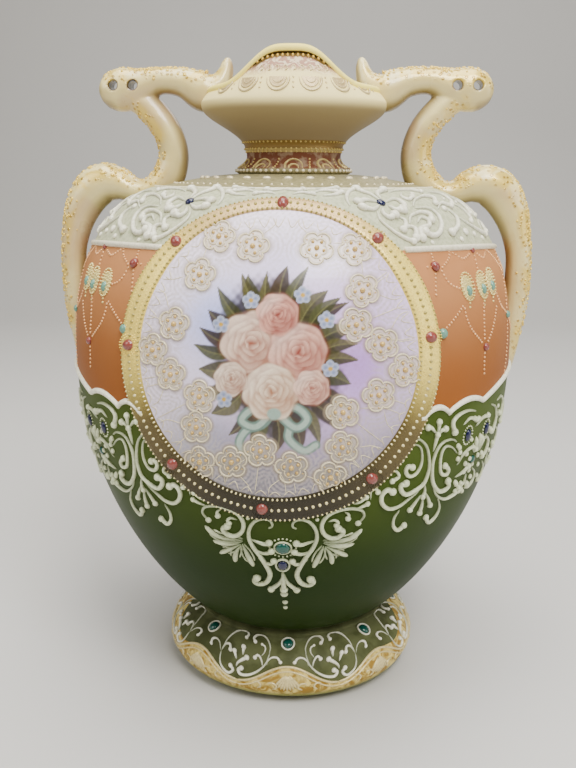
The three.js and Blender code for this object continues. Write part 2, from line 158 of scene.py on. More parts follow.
class Form:
    """The revolved vase as one outline of radius and height, in millimetres.

    Foot: a short ring, a quarter ellipse out to the bulge and a softened quarter back in.
    Body: waist + (belly - waist) * (1 - t^2)^0.811 below the belly, where t is 1 at the waist and 0
    at the belly; shoulder + (belly - shoulder) * (1 - s^2.4)^0.57 above it.
    Neck: neck + (bowl - neck) * (1 - (1 - u^2.8)^3.2), where u is 0 at the narrowest point and 1 at
    the crease.
    """
    belly_curve = 0.811
    shoulder_curve = (2.4, 0.57)
    foot_curve = 0.7
    bowl_curve = (2.8, 3.2)
    collar_curve = 1.5
    rest_radius = 46.0
    rest_ring_step = 1.5
    rest_ring_height = 2.4
    bulge_height = 10.0
    foot_height = 25.0
    foot_top_radius = 42.0
    recess_radius = 38.0
    recess_depth = 3.0
    floor_height = 8.0
    waist_moulding = ((0.3, 25.6), (-0.2, 26.2), (-0.9, 26.8))
    waist_height = 27.5
    belly_height = 140.0
    shoulder_height = 208.0
    collar_height = 212.8
    neck_base_radius = 22.3
    bead_ring = 1.3
    neck_height = 219.0
    crease_height = 240.5
    gilt_ring_height = 222.5
    gilt_ring_swell = 0.5
    gilt_ring_half_width = 0.7
    lip_side_height = 246.5
    throat_flap_radius = 27.6
    throat_side_radius = 33.5
    lip_roll = 1.8
    lip_curve = 1.3
    lip_outer_share = 0.86
    flap_half_angle = math.radians(34)
    flap_steepness = 3.6
    medallion_height = 152.4
    medallion_tilt = math.radians(11.1)
    medallion_turn = math.radians(-0.8)
    sheet_depth_reach = 0.6
    halvings = 26

    def __init__(self, sizes):
        self.belly = sizes.belly_radius / MM
        self.foot = sizes.foot_radius / MM
        self.waist = sizes.waist_radius / MM
        self.shoulder = sizes.shoulder_radius / MM
        self.neck = sizes.neck_radius / MM
        self.bowl = sizes.bowl_radius / MM
        self.wall = sizes.wall / MM
        self.top = sizes.height / MM
        self.medallion = sizes.medallion_radius / MM
        self.rim_width = sizes.rim_width / MM
        outline = np.array(self.outer_outline())
        self.r, self.z = outline.T
        self.s = lengths_along(outline)

    def body_radius(self, z):
        """Radius of the body at heights between waist and shoulder."""
        t = np.clip((self.belly_height - z) / (self.belly_height - self.waist_height), 0, 1)
        s = np.clip((z - self.belly_height) / (self.shoulder_height - self.belly_height), 0, 1)
        flat, fall = self.shoulder_curve
        lower = self.waist + (self.belly - self.waist) * (1 - t ** 2) ** self.belly_curve
        upper = self.shoulder + (self.belly - self.shoulder) * (1 - s ** flat) ** fall
        return np.where(z < self.belly_height, lower, upper)

    def foot_radius_at(self, share):
        """Radius of the foot's top at a share of the way from the bulge to the waist ring."""
        reach = self.foot - self.foot_top_radius
        return self.foot_top_radius + reach * (1 - share ** 2) ** self.foot_curve

    def outer_outline(self):
        """Points of radius and height from the foot's rest to the crease of the bowl."""
        ring = self.rest_radius + self.rest_ring_step
        turn = np.linspace(0, math.pi / 2, 12)
        rows = [(self.rest_radius, 0.0)]
        rows += zip(ring + (self.foot - ring) * np.sin(turn),
                    self.rest_ring_height
                    + (self.bulge_height - self.rest_ring_height) * (1 - np.cos(turn)))
        share = np.linspace(0, 1, 16)[1:]
        rows += zip(self.foot_radius_at(share),
                    self.bulge_height + (self.foot_height - self.bulge_height) * share)
        rows += [(self.foot_top_radius + off, z) for off, z in self.waist_moulding]
        rows += [(self.waist + 0.4, self.waist_height - 0.3)]
        angle = np.linspace(0, math.pi / 2, 52)[:-1]
        z = self.belly_height - (self.belly_height - self.waist_height) * np.cos(angle)
        rows += zip(self.body_radius(z), z)
        angle = np.linspace(0, math.pi / 2, 44)[:-1]
        z = self.belly_height + (self.shoulder_height - self.belly_height) * np.sin(angle)
        rows += zip(self.body_radius(z), z)
        u = np.linspace(0, 1, 12)[:-1]
        rise = self.collar_height - self.shoulder_height
        rows += zip(self.shoulder + (self.neck_base_radius + 0.4 - self.shoulder) * u,
                    self.shoulder_height + rise * (1 - (1 - u) ** self.collar_curve))
        turn = np.linspace(-math.pi / 2, math.pi / 2, 9)
        rows += zip(self.neck_base_radius + self.bead_ring * np.cos(turn),
                    self.collar_height + self.bead_ring * (1 + np.sin(turn)))
        base = self.collar_height + 2 * self.bead_ring
        u = np.linspace(0, 1, 6)[1:]
        rows += zip(self.neck + (self.neck_base_radius - self.neck) * (1 - u) ** 2,
                    base + (self.neck_height - base) * u)
        z = np.linspace(self.neck_height, self.crease_height, 40)[1:]
        u = (z - self.neck_height) / (self.crease_height - self.neck_height)
        off = (z - self.gilt_ring_height) / self.gilt_ring_half_width
        start, flare = self.bowl_curve
        rise = 1 - (1 - u ** start) ** flare
        ring = self.gilt_ring_swell * np.exp(-off ** 2)
        rows += zip(self.neck + (self.bowl - self.neck) * rise + ring, z)
        return rows

    def s_at(self, z):
        """Distance along the outline at a height."""
        return np.interp(z, self.z, self.s)

    def flap(self, angle):
        """How far a lip flap has risen, 0 to 1: exp(-off^3.6).

        Here off is the angle from the nearer of front and back over the flap's half angle.
        """
        off = np.abs(np.arctan(np.tan(angle))) / self.flap_half_angle
        return np.exp(-off ** self.flap_steepness)

    def lip(self, angle):
        """Height of the lip and radius of the throat: side value + (flap value - side value) * flap."""
        rise = self.flap(angle)
        top = self.lip_side_height + (self.top - self.lip_side_height) * rise
        throat = self.throat_side_radius + (self.throat_flap_radius - self.throat_side_radius) * rise
        return top, throat

    def place(self, angle, s, lift=0.0):
        """Points (r sin(angle), -r cos(angle), z) at a distance along the outline, lifted off it."""
        r = np.interp(s, self.s, self.r)
        z = np.interp(s, self.s, self.z)
        nr, nz = self.normal(s)
        r = r + lift * nr
        return np.stack([r * np.sin(angle), -r * np.cos(angle), z + lift * nz], -1)

    def normal(self, s):
        """Outward normal of the outline, by a central difference over a millimetre."""
        half = 0.5
        dr = np.interp(s + half, self.s, self.r) - np.interp(s - half, self.s, self.r)
        dz = np.interp(s + half, self.s, self.z) - np.interp(s - half, self.s, self.z)
        size = np.hypot(dr, dz)
        return dz / size, -dr / size

    def chart(self, angle, z, side=1, back=False):
        """A flat sheet laid on the vase about one point: across and up, in millimetres.

        The angle grows by across over the radius, and the distance along the outline by up.
        """
        s0 = self.s_at(z)

        def onto(across, up, lift=0.0):
            s = s0 + up
            r = np.interp(s, self.s, self.r)
            around = side * (math.radians(angle) + across / r) + (math.pi if back else 0)
            return self.place(around, s, lift)

        return onto

    def front(self, x, up, lift=0.0, back=False):
        """A flat sheet that leans back by the medallion's tilt, carried straight onto the body.

        The height is found by halving: z cos(tilt) - y sin(tilt) has to equal the sheet's up.
        """
        lean = self.medallion_tilt
        depth = math.sqrt(float(self.body_radius(np.array(self.medallion_height))) ** 2
                          - (self.sheet_depth_reach * self.medallion) ** 2)
        target = up + self.medallion_height * math.cos(lean) - depth * math.sin(lean)
        low = np.full(np.broadcast(x, up).shape, self.waist_height)
        high = np.full(low.shape, self.shoulder_height - 0.01)
        for _ in range(self.halvings):
            z = (low + high) / 2
            y = np.sqrt(np.maximum(self.body_radius(z) ** 2 - x ** 2, 0))
            below = z * math.cos(lean) - y * math.sin(lean) < target
            low = np.where(below, z, low)
            high = np.where(below, high, z)
        angle = np.arcsin(np.clip(x / self.body_radius(low), -1, 1))
        around = angle + self.medallion_turn + (math.pi if back else 0)
        return self.place(around, self.s_at(low), lift)

    def medallion_chart(self, back, rise=0.0):
        """The leaning sheet of the front or the back medallion, a little above the glaze."""
        def onto(x, up, lift=0.0):
            return self.front(x, up, lift + rise, back)

        return onto


# How deep the edges of ridges and domes are sunk, and the two rings of a dome: share of its size
# and share of its rise
SINK = 0.25
DOME_RINGS = ((0.92, 0.45), (0.58, 0.85))


class Piece:
    """Collects grids, ridges and domes and writes them as one mesh in metres."""

    def __init__(self):
        self.points = []
        self.faces = []
        self.tints = []
        self.count = 0

    def add(self, points, faces, tint):
        """Adds points, faces that count from their first point, and one tint or one for each."""
        points = np.asarray(points, float).reshape(-1, 3)
        tint = np.broadcast_to(np.asarray(tint, float), (len(points), 3))
        for block in faces:
            self.faces.append(np.asarray(block) + self.count)
        self.points.append(points)
        self.tints.append(tint)
        self.count += len(points)

    def grid(self, points, tint, wrap_rows=False, wrap_columns=False):
        """Adds a sheet of points laid out in rows and columns."""
        rows, columns = points.shape[:2]
        i = np.arange(rows if wrap_rows else rows - 1)[:, None]
        j = np.arange(columns if wrap_columns else columns - 1)[None, :]
        a = i * columns + j
        b = i * columns + (j + 1) % columns
        c = ((i + 1) % rows) * columns + (j + 1) % columns
        d = ((i + 1) % rows) * columns + j
        quads = np.stack([a, b, c, d], -1).reshape(-1, 4)
        tint = np.asarray(tint, float)
        if tint.ndim == 3:
            tint = tint.reshape(-1, 3)
        self.add(points, [quads], tint)

    def close(self, first, last):
        """Closes a tube: a face at its first ring of points and one at its last."""
        self.faces.append(first[None, ::-1])
        self.faces.append(last[None, :])

    def ridge(self, onto, path, width, rise, tint, sides=6, closed=False, edge=1.0):
        """A rounded ridge along a path on a sheet, in one tint or one for each of its points.

        The section is half an ellipse: across = width / 2 * cos(turn), lift = rise * sin(turn).
        Its sides are darker where edge is less than 1: painted shade at the ridge's sides, on slip
        partly the darker ground seen through its thin edge.
        """
        path = np.asarray(path, float)
        count = len(path)
        even = np.linspace(0, 1, count)
        width = np.interp(even, np.linspace(0, 1, np.size(width)), np.ravel(width))
        rise = np.interp(even, np.linspace(0, 1, np.size(rise)), np.ravel(rise))
        if closed:
            along = unit(np.roll(path, -1, 0) - np.roll(path, 1, 0))
        else:
            along = unit(np.gradient(path, axis=0))
            reach = lengths_along(path)
            cap = np.minimum(reach, reach[-1] - reach) / np.maximum(width / 2, 1e-6)
            end = np.sqrt(np.clip(1 - (1 - np.clip(cap, 0.06, 1)) ** 2, 0, 1))
            width = width * end
            rise = rise * end
        turn = np.linspace(0, math.pi, sides)
        off = width[:, None] / 2 * np.cos(turn)
        lift = (rise[:, None] + SINK) * np.sin(turn) - SINK
        x = path[:, :1] + along[:, 1:] * off
        y = path[:, 1:] - along[:, :1] * off
        points = onto(x, y, lift)
        first = np.arange(sides) + self.count
        tint = np.asarray(tint, float)
        rows = tint if tint.ndim == 2 else np.tile(tint, (count, 1))
        # Painted shade: darker towards the ridge's sides
        depth = edge + (1 - edge) * np.sin(turn)
        self.grid(points, rows[:, None] * depth[:, None], wrap_rows=closed, wrap_columns=True)
        if not closed:
            self.close(first, first + (count - 1) * sides)

    def domes(self, onto, spots, size, rise, tint, sides=8, sink=SINK, tall=1.0, edge=1.0):
        """A low dome at each spot of a sheet: a sunk ring, a shoulder ring and a top, the lower rings
        darker as painted shade where edge is less than 1.
        """
        spots = np.asarray(spots, float).reshape(-1, 2)
        count = len(spots)
        size = np.broadcast_to(np.asarray(size, float), count)[:, None]
        rise = np.broadcast_to(np.asarray(rise, float), count)[:, None]
        turn = full_turn(sides)
        lifts = [(1.0, np.full((count, sides), -sink))]
        lifts += [(share, rise * height * np.ones(sides)) for share, height in DOME_RINGS]
        rings = []
        for share, lift in lifts:
            rings.append(onto(spots[:, :1] + size * share * np.cos(turn),
                              spots[:, 1:] + size * share * tall * np.sin(turn), lift))
        tops = onto(spots[:, :1], spots[:, 1:], rise)
        points = np.concatenate(rings + [tops], 1)
        each = 3 * sides + 1
        j = np.arange(sides)
        k = (j + 1) % sides
        quads = np.stack([j, k, k + sides, j + sides], -1)
        quads = np.concatenate([quads, quads + sides])
        caps = np.stack([j + 2 * sides, k + 2 * sides, np.full(sides, 3 * sides)], -1)
        floor = j[::-1]
        start = np.arange(count)[:, None, None] * each
        tint = np.asarray(tint, float)
        tint = np.repeat(tint, each, 0) if tint.ndim == 2 else np.tile(tint, (count * each, 1))
        # Painted shade: the sunk and shoulder rings darker
        depth = np.repeat([edge, edge + (1 - edge) * 0.6, 1.0], sides)
        tint = tint * np.tile(np.append(depth, 1.0), count)[:, None]
        self.add(points, [(quads + start).reshape(-1, 4), (caps + start).reshape(-1, 3),
                          (floor + start).reshape(-1, sides)], tint)

    def mesh(self, name):
        """The points and faces as a mesh in metres."""
        mesh = bpy.data.meshes.new(name)
        points = np.concatenate(self.points) * MM
        faces = [face for block in self.faces for face in block.tolist()]
        mesh.from_pydata(points.tolist(), [], faces)
        return mesh

    def build(self, name, material, attributes=None):
        """Writes the mesh and its tint, and returns the object riding on the vase's body."""
        mesh = self.mesh(name)
        tint = np.concatenate(self.tints)
        layer = mesh.color_attributes.new("tint", "FLOAT_COLOR", "POINT")
        layer.data.foreach_set("color", np.column_stack([tint, np.ones(len(tint))]).ravel())
        for key, values in (attributes or {}).items():
            extra = mesh.attributes.new(key, "FLOAT", "POINT")
            extra.data.foreach_set("value", np.asarray(values, np.float32).ravel())
        mesh.polygons.foreach_set("use_smooth", np.ones(len(mesh.polygons), bool))
        mesh.materials.append(material)
        mesh.validate()
        mesh.update()
        return adopt(bpy.data.objects.new(name, mesh))


def adopt(piece):
    """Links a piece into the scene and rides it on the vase's body."""
    bpy.context.scene.collection.objects.link(piece)
    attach(piece, "root")
    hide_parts("vase")
    return piece


class Value:
    """A shader socket that takes part in Python arithmetic: each operator adds a Math node."""

    def __init__(self, shader, socket):
        self.shader = shader
        self.socket = socket

    def math(self, operation, first, second):
        """Adds a Math node."""
        return self.shader.node("ShaderNodeMath", {"operation": operation}, {0: first, 1: second})

    def __add__(self, other):
        return self.math("ADD", self, other)

    __radd__ = __add__

    def __sub__(self, other):
        return self.math("SUBTRACT", self, other)

    def __rsub__(self, other):
        return self.math("SUBTRACT", other, self)

    def __mul__(self, other):
        return self.math("MULTIPLY", self, other)

    __rmul__ = __mul__

    def rise(self, low, high):
        """0 below low, 1 above high, smooth between."""
        return self.shader.node("ShaderNodeMapRange", {"interpolation_type": "SMOOTHSTEP"},
                                {0: self, 1: low, 2: high, 3: 0.0, 4: 1.0})


class Shader:
    """A material's node tree with one Principled surface."""

    def __init__(self, name):
        self.material = bpy.data.materials.new(name)
        self.material.use_nodes = True
        self.tree = self.material.node_tree
        self.tree.nodes.clear()
        self.surface = self.tree.nodes.new("ShaderNodeBsdfPrincipled")
        output = self.tree.nodes.new("ShaderNodeOutputMaterial")
        self.tree.links.new(self.surface.outputs[0], output.inputs[0])
        self.spot = self.node("ShaderNodeTexCoord", {}, {}, "Object")
        self.height = self.node("ShaderNodeSeparateXYZ", {}, {0: self.spot}, "Z")

    def set(self, target, value):
        """Links a value to a socket, or sets the socket."""
        if isinstance(value, Value):
            self.tree.links.new(value.socket, target)
        elif isinstance(value, (tuple, list)) and len(value) == 3 and len(target.default_value) == 4:
            target.default_value = (*value, 1.0)
        else:
            target.default_value = value

    def node(self, kind, settings, inputs, output=0):
        """Adds a node: its settings first, then the values or links of its sockets."""
        node = self.tree.nodes.new(kind)
        for key, value in settings.items():
            setattr(node, key, value)
        for key, value in inputs.items():
            self.set(node.inputs[key], value)
        return Value(self, node.outputs[output])

    def mix(self, share, a, b):
        """Colour a turned into colour b by a share."""
        return self.node("ShaderNodeMix", {"data_type": "RGBA"}, {0: share, 6: a, 7: b}, 2)

    def attribute(self, name, output="Fac"):
        """Reads values or colours kept on the mesh."""
        return self.node("ShaderNodeAttribute", {"attribute_name": name}, {}, output)

    def noise(self, scale, detail=3.0, distortion=0.0):
        """Cloudy values in object space."""
        inputs = {"Vector": self.spot, "Scale": scale, "Detail": detail, "Distortion": distortion}
        return self.node("ShaderNodeTexNoise", {}, inputs)

    def cells(self, scale):
        """Distance to the nearest point of a scatter."""
        return self.node("ShaderNodeTexVoronoi", {}, {"Vector": self.spot, "Scale": scale}, "Distance")

    def finish(self, **sockets):
        """Sets the surface's sockets, with underscores for the spaces in their names."""
        for key, value in sockets.items():
            self.set(self.surface.inputs[key.replace("_", " ")], value)
        return self.material

    def bump(self, height, strength, distance):
        """Fine relief from a height."""
        inputs = {"Strength": strength, "Distance": distance, "Height": height}
        return self.node("ShaderNodeBump", {}, inputs)


# Heights of the painted bands, in metres
COLLAR_EDGE = 0.2078
NECK_PANEL = (0.2148, 0.2211)
GILT_NECK = (0.2224, 0.2254)
CREASE = 0.2400


def body_ground(shader, colours, broad, fine):
    """Green up to the scalloped line, darker towards the bottom with painted shade, terracotta above it
    and celadon above the white ring.
    """
    z = shader.height
    # The green turns to olive towards the bottom: partly the glaze's own darker green, partly painted
    # shade
    green = shader.mix(z.rise(0.060, 0.128), tuple(colours.olive_with_painted_shade), tuple(colours.leaf_green))
    green = shader.mix(broad.rise(0.3, 0.7) * 0.25, green, tuple(colours.olive_with_painted_shade))
    clay = shader.mix(z.rise(0.135, 0.188), tuple(colours.terracotta), tuple(colours.blush))
    clay = shader.mix(broad.rise(0.45, 0.75) * 0.3, clay, paint("93521F"))
    ground = shader.mix(shader.attribute("scallop").rise(-0.15, 0.15), green, clay)
    stone = shader.mix(fine.rise(0.4, 0.65), tuple(colours.celadon), paint("ABAF8D"))
    return shader.mix(shader.attribute("ring").rise(-0.2, 0.2), ground, stone)


def neck_ground(shader, colours, ground, fine):
    """Collar, neck, gilt ring and bowl, one above the other, and where the neck is gilt."""
    z = shader.height
    collar = shader.mix(fine.rise(0.35, 0.7), paint("7F7854"), paint("988F6A"))
    ground = shader.mix(z.rise(COLLAR_EDGE - 0.0002, COLLAR_EDGE + 0.0002), ground, collar)
    panel = shader.mix(shader.noise(330.0).rise(0.46, 0.62) * 0.5, paint("6E4432"), paint("A8977C"))
    ground = shader.mix(z.rise(NECK_PANEL[0], NECK_PANEL[0] + 0.0003), ground, panel)
    above_panel = z.rise(NECK_PANEL[1], NECK_PANEL[1] + 0.0003)
    ground = shader.mix(above_panel, ground, paint("C4B078"))
    ground = shader.mix(z.rise(GILT_NECK[0], GILT_NECK[0] + 0.0004), ground, paint("93794A"))
    # The bowl's underside in beige and grey-beige, darkened partly as painted shade
    bowl = shader.mix(z.rise(0.2290, CREASE), paint("97876A"), tuple(colours.taupe_with_painted_shade))
    above_gilt_neck = z.rise(GILT_NECK[1], GILT_NECK[1] + 0.0006)
    ground = shader.mix(above_gilt_neck, ground, bowl)
    ground = shader.mix(z.rise(CREASE - 0.0034, CREASE + 0.0010), ground, tuple(colours.ivory))
    return ground, above_panel * (1.0 - above_gilt_neck)


def lip_ground(shader, ground):
    """Mauve swirls on the flaps, and a brown line below the gilt edge painted as the shadow under the
    lip's roll.
    """
    z = shader.height
    lip = shader.attribute("lip")
    swirl = shader.noise(230.0, 5.0, 2.5).rise(0.47, 0.55)
    mauve = shader.mix(swirl, paint("AF8873"), paint("E3CFAE"))
    ground = shader.mix(lip.rise(-11.5, -8.5) * z.rise(0.2470, 0.2520), ground, mauve)
    # Painted shadow: a dark brown band under the lip's roll
    return shader.mix(lip.rise(-5.2, -4.4) * z.rise(0.2500, 0.2530), ground, paint("5E4B26"))


def ground_material(colours):
    """The painted grounds of the body, from heights and from distances kept on the mesh."""
    shader = Shader("painted grounds")
    z = shader.height
    broad = shader.noise(35.0, 3.0)
    fine = shader.noise(700.0, 4.0)
    inner = shader.attribute("inner")
    ground = body_ground(shader, colours, broad, fine)
    ground, neck_gold = neck_ground(shader, colours, ground, fine)
    ground = lip_ground(shader, ground)
    foot = shader.mix(shader.noise(120.0).rise(0.4, 0.62), paint("565A3A"), paint("44482B"))
    ground = shader.mix(1.0 - z.rise(0.0268, 0.0290), ground, foot)
    brocade = shader.noise(210.0, 5.0, 1.2)
    gold_ground = shader.mix(brocade.rise(0.36, 0.62), paint("E9D480"), paint("9E7C36"))
    gilded = shader.attribute("gilt").rise(-0.1, 0.2)
    ground = shader.mix(gilded, ground, gold_ground)
    ground = shader.mix((1.0 - z.rise(0.0042, 0.0078)) * gilded, ground, paint("8C8D48"))
    ground = shader.mix(shader.attribute("lip").rise(-2.9, -2.5), ground, paint("FFEC7C"))
    ground = shader.mix(inner, ground, tuple(colours.inside))
    relief = brocade * gilded + 0.1 * fine
    metal = gilded * z.rise(0.0026, 0.0052) * 0.35 + neck_gold * 0.4
    return shader.finish(Base_Color=ground, Metallic=metal * (1.0 - inner),
                         Roughness=0.40 + 0.1 * broad, Specular_IOR_Level=0.07,
                         Normal=shader.bump(relief, 0.5, 0.0008))


def tinted_material(name, roughness, metallic=0.0, coat=0.0, grain=900.0, grain_bump=0.15,
                    mottle=0.12):
    """A finish that takes its colour from the piece's tint, mottled a little."""
    shader = Shader(name)
    fine = shader.noise(grain, 3.0)
    tint = shader.attribute("tint", "Color")
    darker = shader.node("ShaderNodeMix", {"data_type": "RGBA", "blend_type": "MULTIPLY"},
                         {0: 1.0, 6: tint, 7: paint("C9BFA6")}, 2)
    base = shader.mix(fine.rise(0.35, 0.75) * mottle * 4.0, tint, darker)
    return shader.finish(Base_Color=base, Metallic=metallic, Roughness=roughness + 0.1 * fine,
                         Coat_Weight=coat, Coat_Roughness=0.08,
                         Normal=shader.bump(fine, grain_bump, 0.0003))


def handle_material(colours):
    """Ivory glaze with painted shade, browner and a little pink in the hollows and on the inner side,
    near black inside the holes, with patches of gold dust.
    """
    shader = Shader("ivory handle glaze")
    broad = shader.noise(60.0, 3.0)
    shade = shader.attribute("shade")
    dust = shader.attribute("dust")
    base = shader.mix(broad.rise(0.35, 0.7) * 0.5, tuple(colours.ivory), paint("DAC684"))
    # Painted shade: brown where the shade mark is high
    base = shader.mix(shade.rise(0.15, 1.0) * 0.85, base, paint("6E5430"))
    # Painted shadow: near black inside the lobe's holes
    base = shader.mix(shade.rise(1.05, 1.2), base, paint("2A1C10"))
    # Painted shade: blotches of pink in the shaded parts
    painted_pink_shade = shader.noise(45.0, 2.0).rise(0.5, 0.66) * shade.rise(0.05, 0.5)
    base = shader.mix(painted_pink_shade * 0.35, base, paint("B08471"))
    patches = shader.noise(75.0, 4.0, 1.0).rise(0.42, 0.58) * dust.rise(0.10, 0.75)
    base = shader.mix(patches * 0.85, base, paint("E0C050"))
    specks = (1.0 - shader.cells(480.0).rise(0.22, 0.36)) * (dust * 0.8 + patches * 0.5).rise(0.25, 0.7)
    base = shader.mix(specks * 0.75, base, paint("B08A34"))
    return shader.finish(Base_Color=base, Metallic=patches * 0.2 + specks * 0.3,
                         Roughness=0.22 + 0.12 * broad, Coat_Weight=0.35, Coat_Roughness=0.08,
                         Normal=shader.bump(specks, 0.7, 0.0004))


def shared_material(name, maker, *values, **settings):
    """The material of that name, made on first use."""
    return bpy.data.materials.get(name) or maker(*values, **settings)


def slip_finish():
    """White slip under a thin glaze."""
    return shared_material("raised slip", tinted_material, "raised slip", 0.36, coat=0.2)


def gold_finish():
    """Gold burnished over raised paste."""
    return shared_material("burnished gold", tinted_material, "burnished gold", 0.34, metallic=0.3,
                           grain=1400.0, grain_bump=0.25)


def enamel_finish():
    """Glassy enamel."""
    return shared_material("enamel jewels", tinted_material, "enamel jewels", 0.16, coat=0.25,
                           mottle=0.03, grain_bump=0.02)


# Cusps of the scalloped line, in degrees from the front, and its height in millimetres
SCALLOP_CUSPS = (33.5, 41.0, 54.2, 86.0)
SCALLOP_HEIGHT = 130.4
SCALLOP_RISE = 2.9
SCALLOP_TAIL = 6.5

# The white ring's height in front, where it starts to fall, in degrees, and how far it falls
RING_HEIGHT = 187.8
RING_FALL_START = 33
RING_FALL_REACH = 53
RING_FALL = 3.5

# The foot's jewels, and the wavy upper edge of its gilding: depth under them, wave and climb
FOOT_JEWELS = 8
FOOT_JEWEL_HEIGHT = 23.9
FOOT_TURN = math.radians(1.6)
GILT_DEPTH = 13.4
GILT_WAVE = 3.8
GILT_CLIMB = 14.0


def folded(angle):
    """An angle in degrees from the nearer of front and back, 0 to 90."""
    off = np.abs((np.degrees(angle) + 180) % 360 - 180)
    return np.where(off > 90, 180 - off, off)


def scallop_height(angle):
    """Height of the scalloped line: arcs between cusps on a line that climbs to the handles.

    height + tail * climb + rise * sin(pi * share)^0.8, where share goes 0 to 1 from cusp to cusp and
    climb is the square of the share of the way from the first cusp to the last.
    """
    off = folded(angle)
    cusps = np.array(SCALLOP_CUSPS)
    i = np.clip(np.searchsorted(cusps, off, side="right") - 1, 0, len(cusps) - 2)
    share = np.clip((off - cusps[i]) / (cusps[i + 1] - cusps[i]), 0, 1)
    climb = np.clip((off - cusps[0]) / (cusps[-1] - cusps[0]), 0, 1) ** 2
    return SCALLOP_HEIGHT + SCALLOP_TAIL * climb + SCALLOP_RISE * np.sin(math.pi * share) ** 0.8


def ring_height(angle):
    """Height of the white ring under the shoulder: height - fall * share^2 towards the handles."""
    share = np.clip((folded(angle) - RING_FALL_START) / RING_FALL_REACH, 0, 1)
    return RING_HEIGHT - RING_FALL * share ** 2


def gilt_distance(form, angle, s):
    """How far a point lies below the wavy upper edge of the gilding.

    The edge: jewels' height - depth + wave * cos(8 * angle) + a climb at the sides.
    """
    wave = GILT_WAVE * np.cos(FOOT_JEWELS * (angle - FOOT_TURN))
    climb = GILT_CLIMB * step(48, 84, folded(angle))
    return form.s_at(FOOT_JEWEL_HEIGHT) - GILT_DEPTH + wave + climb - s


LIP_ROWS = 14


def lip_rows(form, angle):
    """Rows from the crease to the lip and back down the inside, for each angle.

    Outside: radius closes from bowl to throat with share^1.3, then rolls out over the lip.
    """
    top, throat = form.lip(angle)
    tall = (top - form.crease_height) * form.lip_outer_share
    share = np.linspace(0, 1, LIP_ROWS)[1:, None]
    outside_r = form.bowl - (form.bowl - throat) * share ** form.lip_curve
    outside_z = form.crease_height + tall * share
    turn = np.linspace(-0.45 * math.pi, 1.1 * math.pi, 12)[:, None]
    middle = throat + form.lip_roll * 0.2 - 0.4
    roll_r = middle + form.lip_roll * 0.95 * np.cos(turn)
    roll_z = top - form.lip_roll * 0.9 + form.lip_roll * 0.9 * np.sin(turn)
    share = np.linspace(1, 0, LIP_ROWS)[:, None]
    inside_r = form.bowl - (form.bowl - throat) * share ** form.lip_curve
    inside_r = inside_r - form.wall * (0.95 - 0.1 * share)
    inside_z = form.crease_height + form.wall * 0.3 + (tall - form.wall * 0.3) * share
    r = np.concatenate([outside_r, roll_r, inside_r])
    z = np.concatenate([outside_z, roll_z, inside_z])
    inner = np.concatenate([np.zeros(len(outside_z) + len(roll_z)), np.ones(len(inside_z))])
    return r, z, inner, top


# Tint kept on pieces whose material doesn't read it
PLAIN_TINT = (0.8, 0.8, 0.7)


def vase_form(form, columns, material):
    """The hollow revolved body: outside, lip, inside and the recess under the foot."""
    angle = full_turn(columns)
    ones = np.ones(columns)
    lip_r, lip_z, lip_inside, top = lip_rows(form, angle)
    nr, nz = form.normal(form.s)
    start = np.searchsorted(form.z, form.waist_height + 1.0)
    keep = np.arange(start, len(form.z) - 3, 3)
    inside_r = (form.r - form.wall * nr)[keep][::-1]
    inside_z = (form.z - form.wall * nz)[keep][::-1]
    low_r = np.array([form.waist - form.wall, form.waist - form.wall + 1, 44.0, 48.5, 50.5, 48.0,
                      form.rest_radius - 1, 0.01])
    low_z = np.array([form.waist_height, 26.0, 21.5, 17.0, 12.0, 9.0, form.floor_height,
                      form.floor_height])
    under_r = np.array([0.01, form.recess_radius, form.recess_radius + 1.0, form.recess_radius + 1.5])
    under_z = np.array([form.recess_depth, form.recess_depth, 0.6, 0.0])
    r = np.vstack([np.outer(under_r, ones), np.outer(form.r, ones), lip_r,
                   np.outer(np.append(inside_r, low_r), ones)])
    z = np.vstack([np.outer(under_z, ones), np.outer(form.z, ones), lip_z,
                   np.outer(np.append(inside_z, low_z), ones)])
    outside = len(under_r) + len(form.r)
    inner = np.concatenate([np.ones(len(under_r)), np.zeros(len(form.r)), lip_inside,
                            np.ones(len(inside_r) + len(low_r))])
    points = np.stack([r * np.sin(angle), -r * np.cos(angle), z], -1)
    piece = Piece()
    piece.grid(points, PLAIN_TINT, wrap_columns=True)
    around = np.broadcast_to(angle, z.shape)
    s = np.concatenate([np.zeros(len(under_r)), form.s, np.full(len(z) - outside, form.s[-1])])[:, None]
    attributes = {
        "scallop": z - scallop_height(around),
        "ring": z - ring_height(around),
        "gilt": np.where(z < form.foot_height, gilt_distance(form, around, s), -5.0),
        "lip": np.where(z > form.crease_height, z - top, -20.0),
        "inner": np.broadcast_to(inner[:, None], z.shape),
    }
    return piece.build("vase_form", material, attributes)


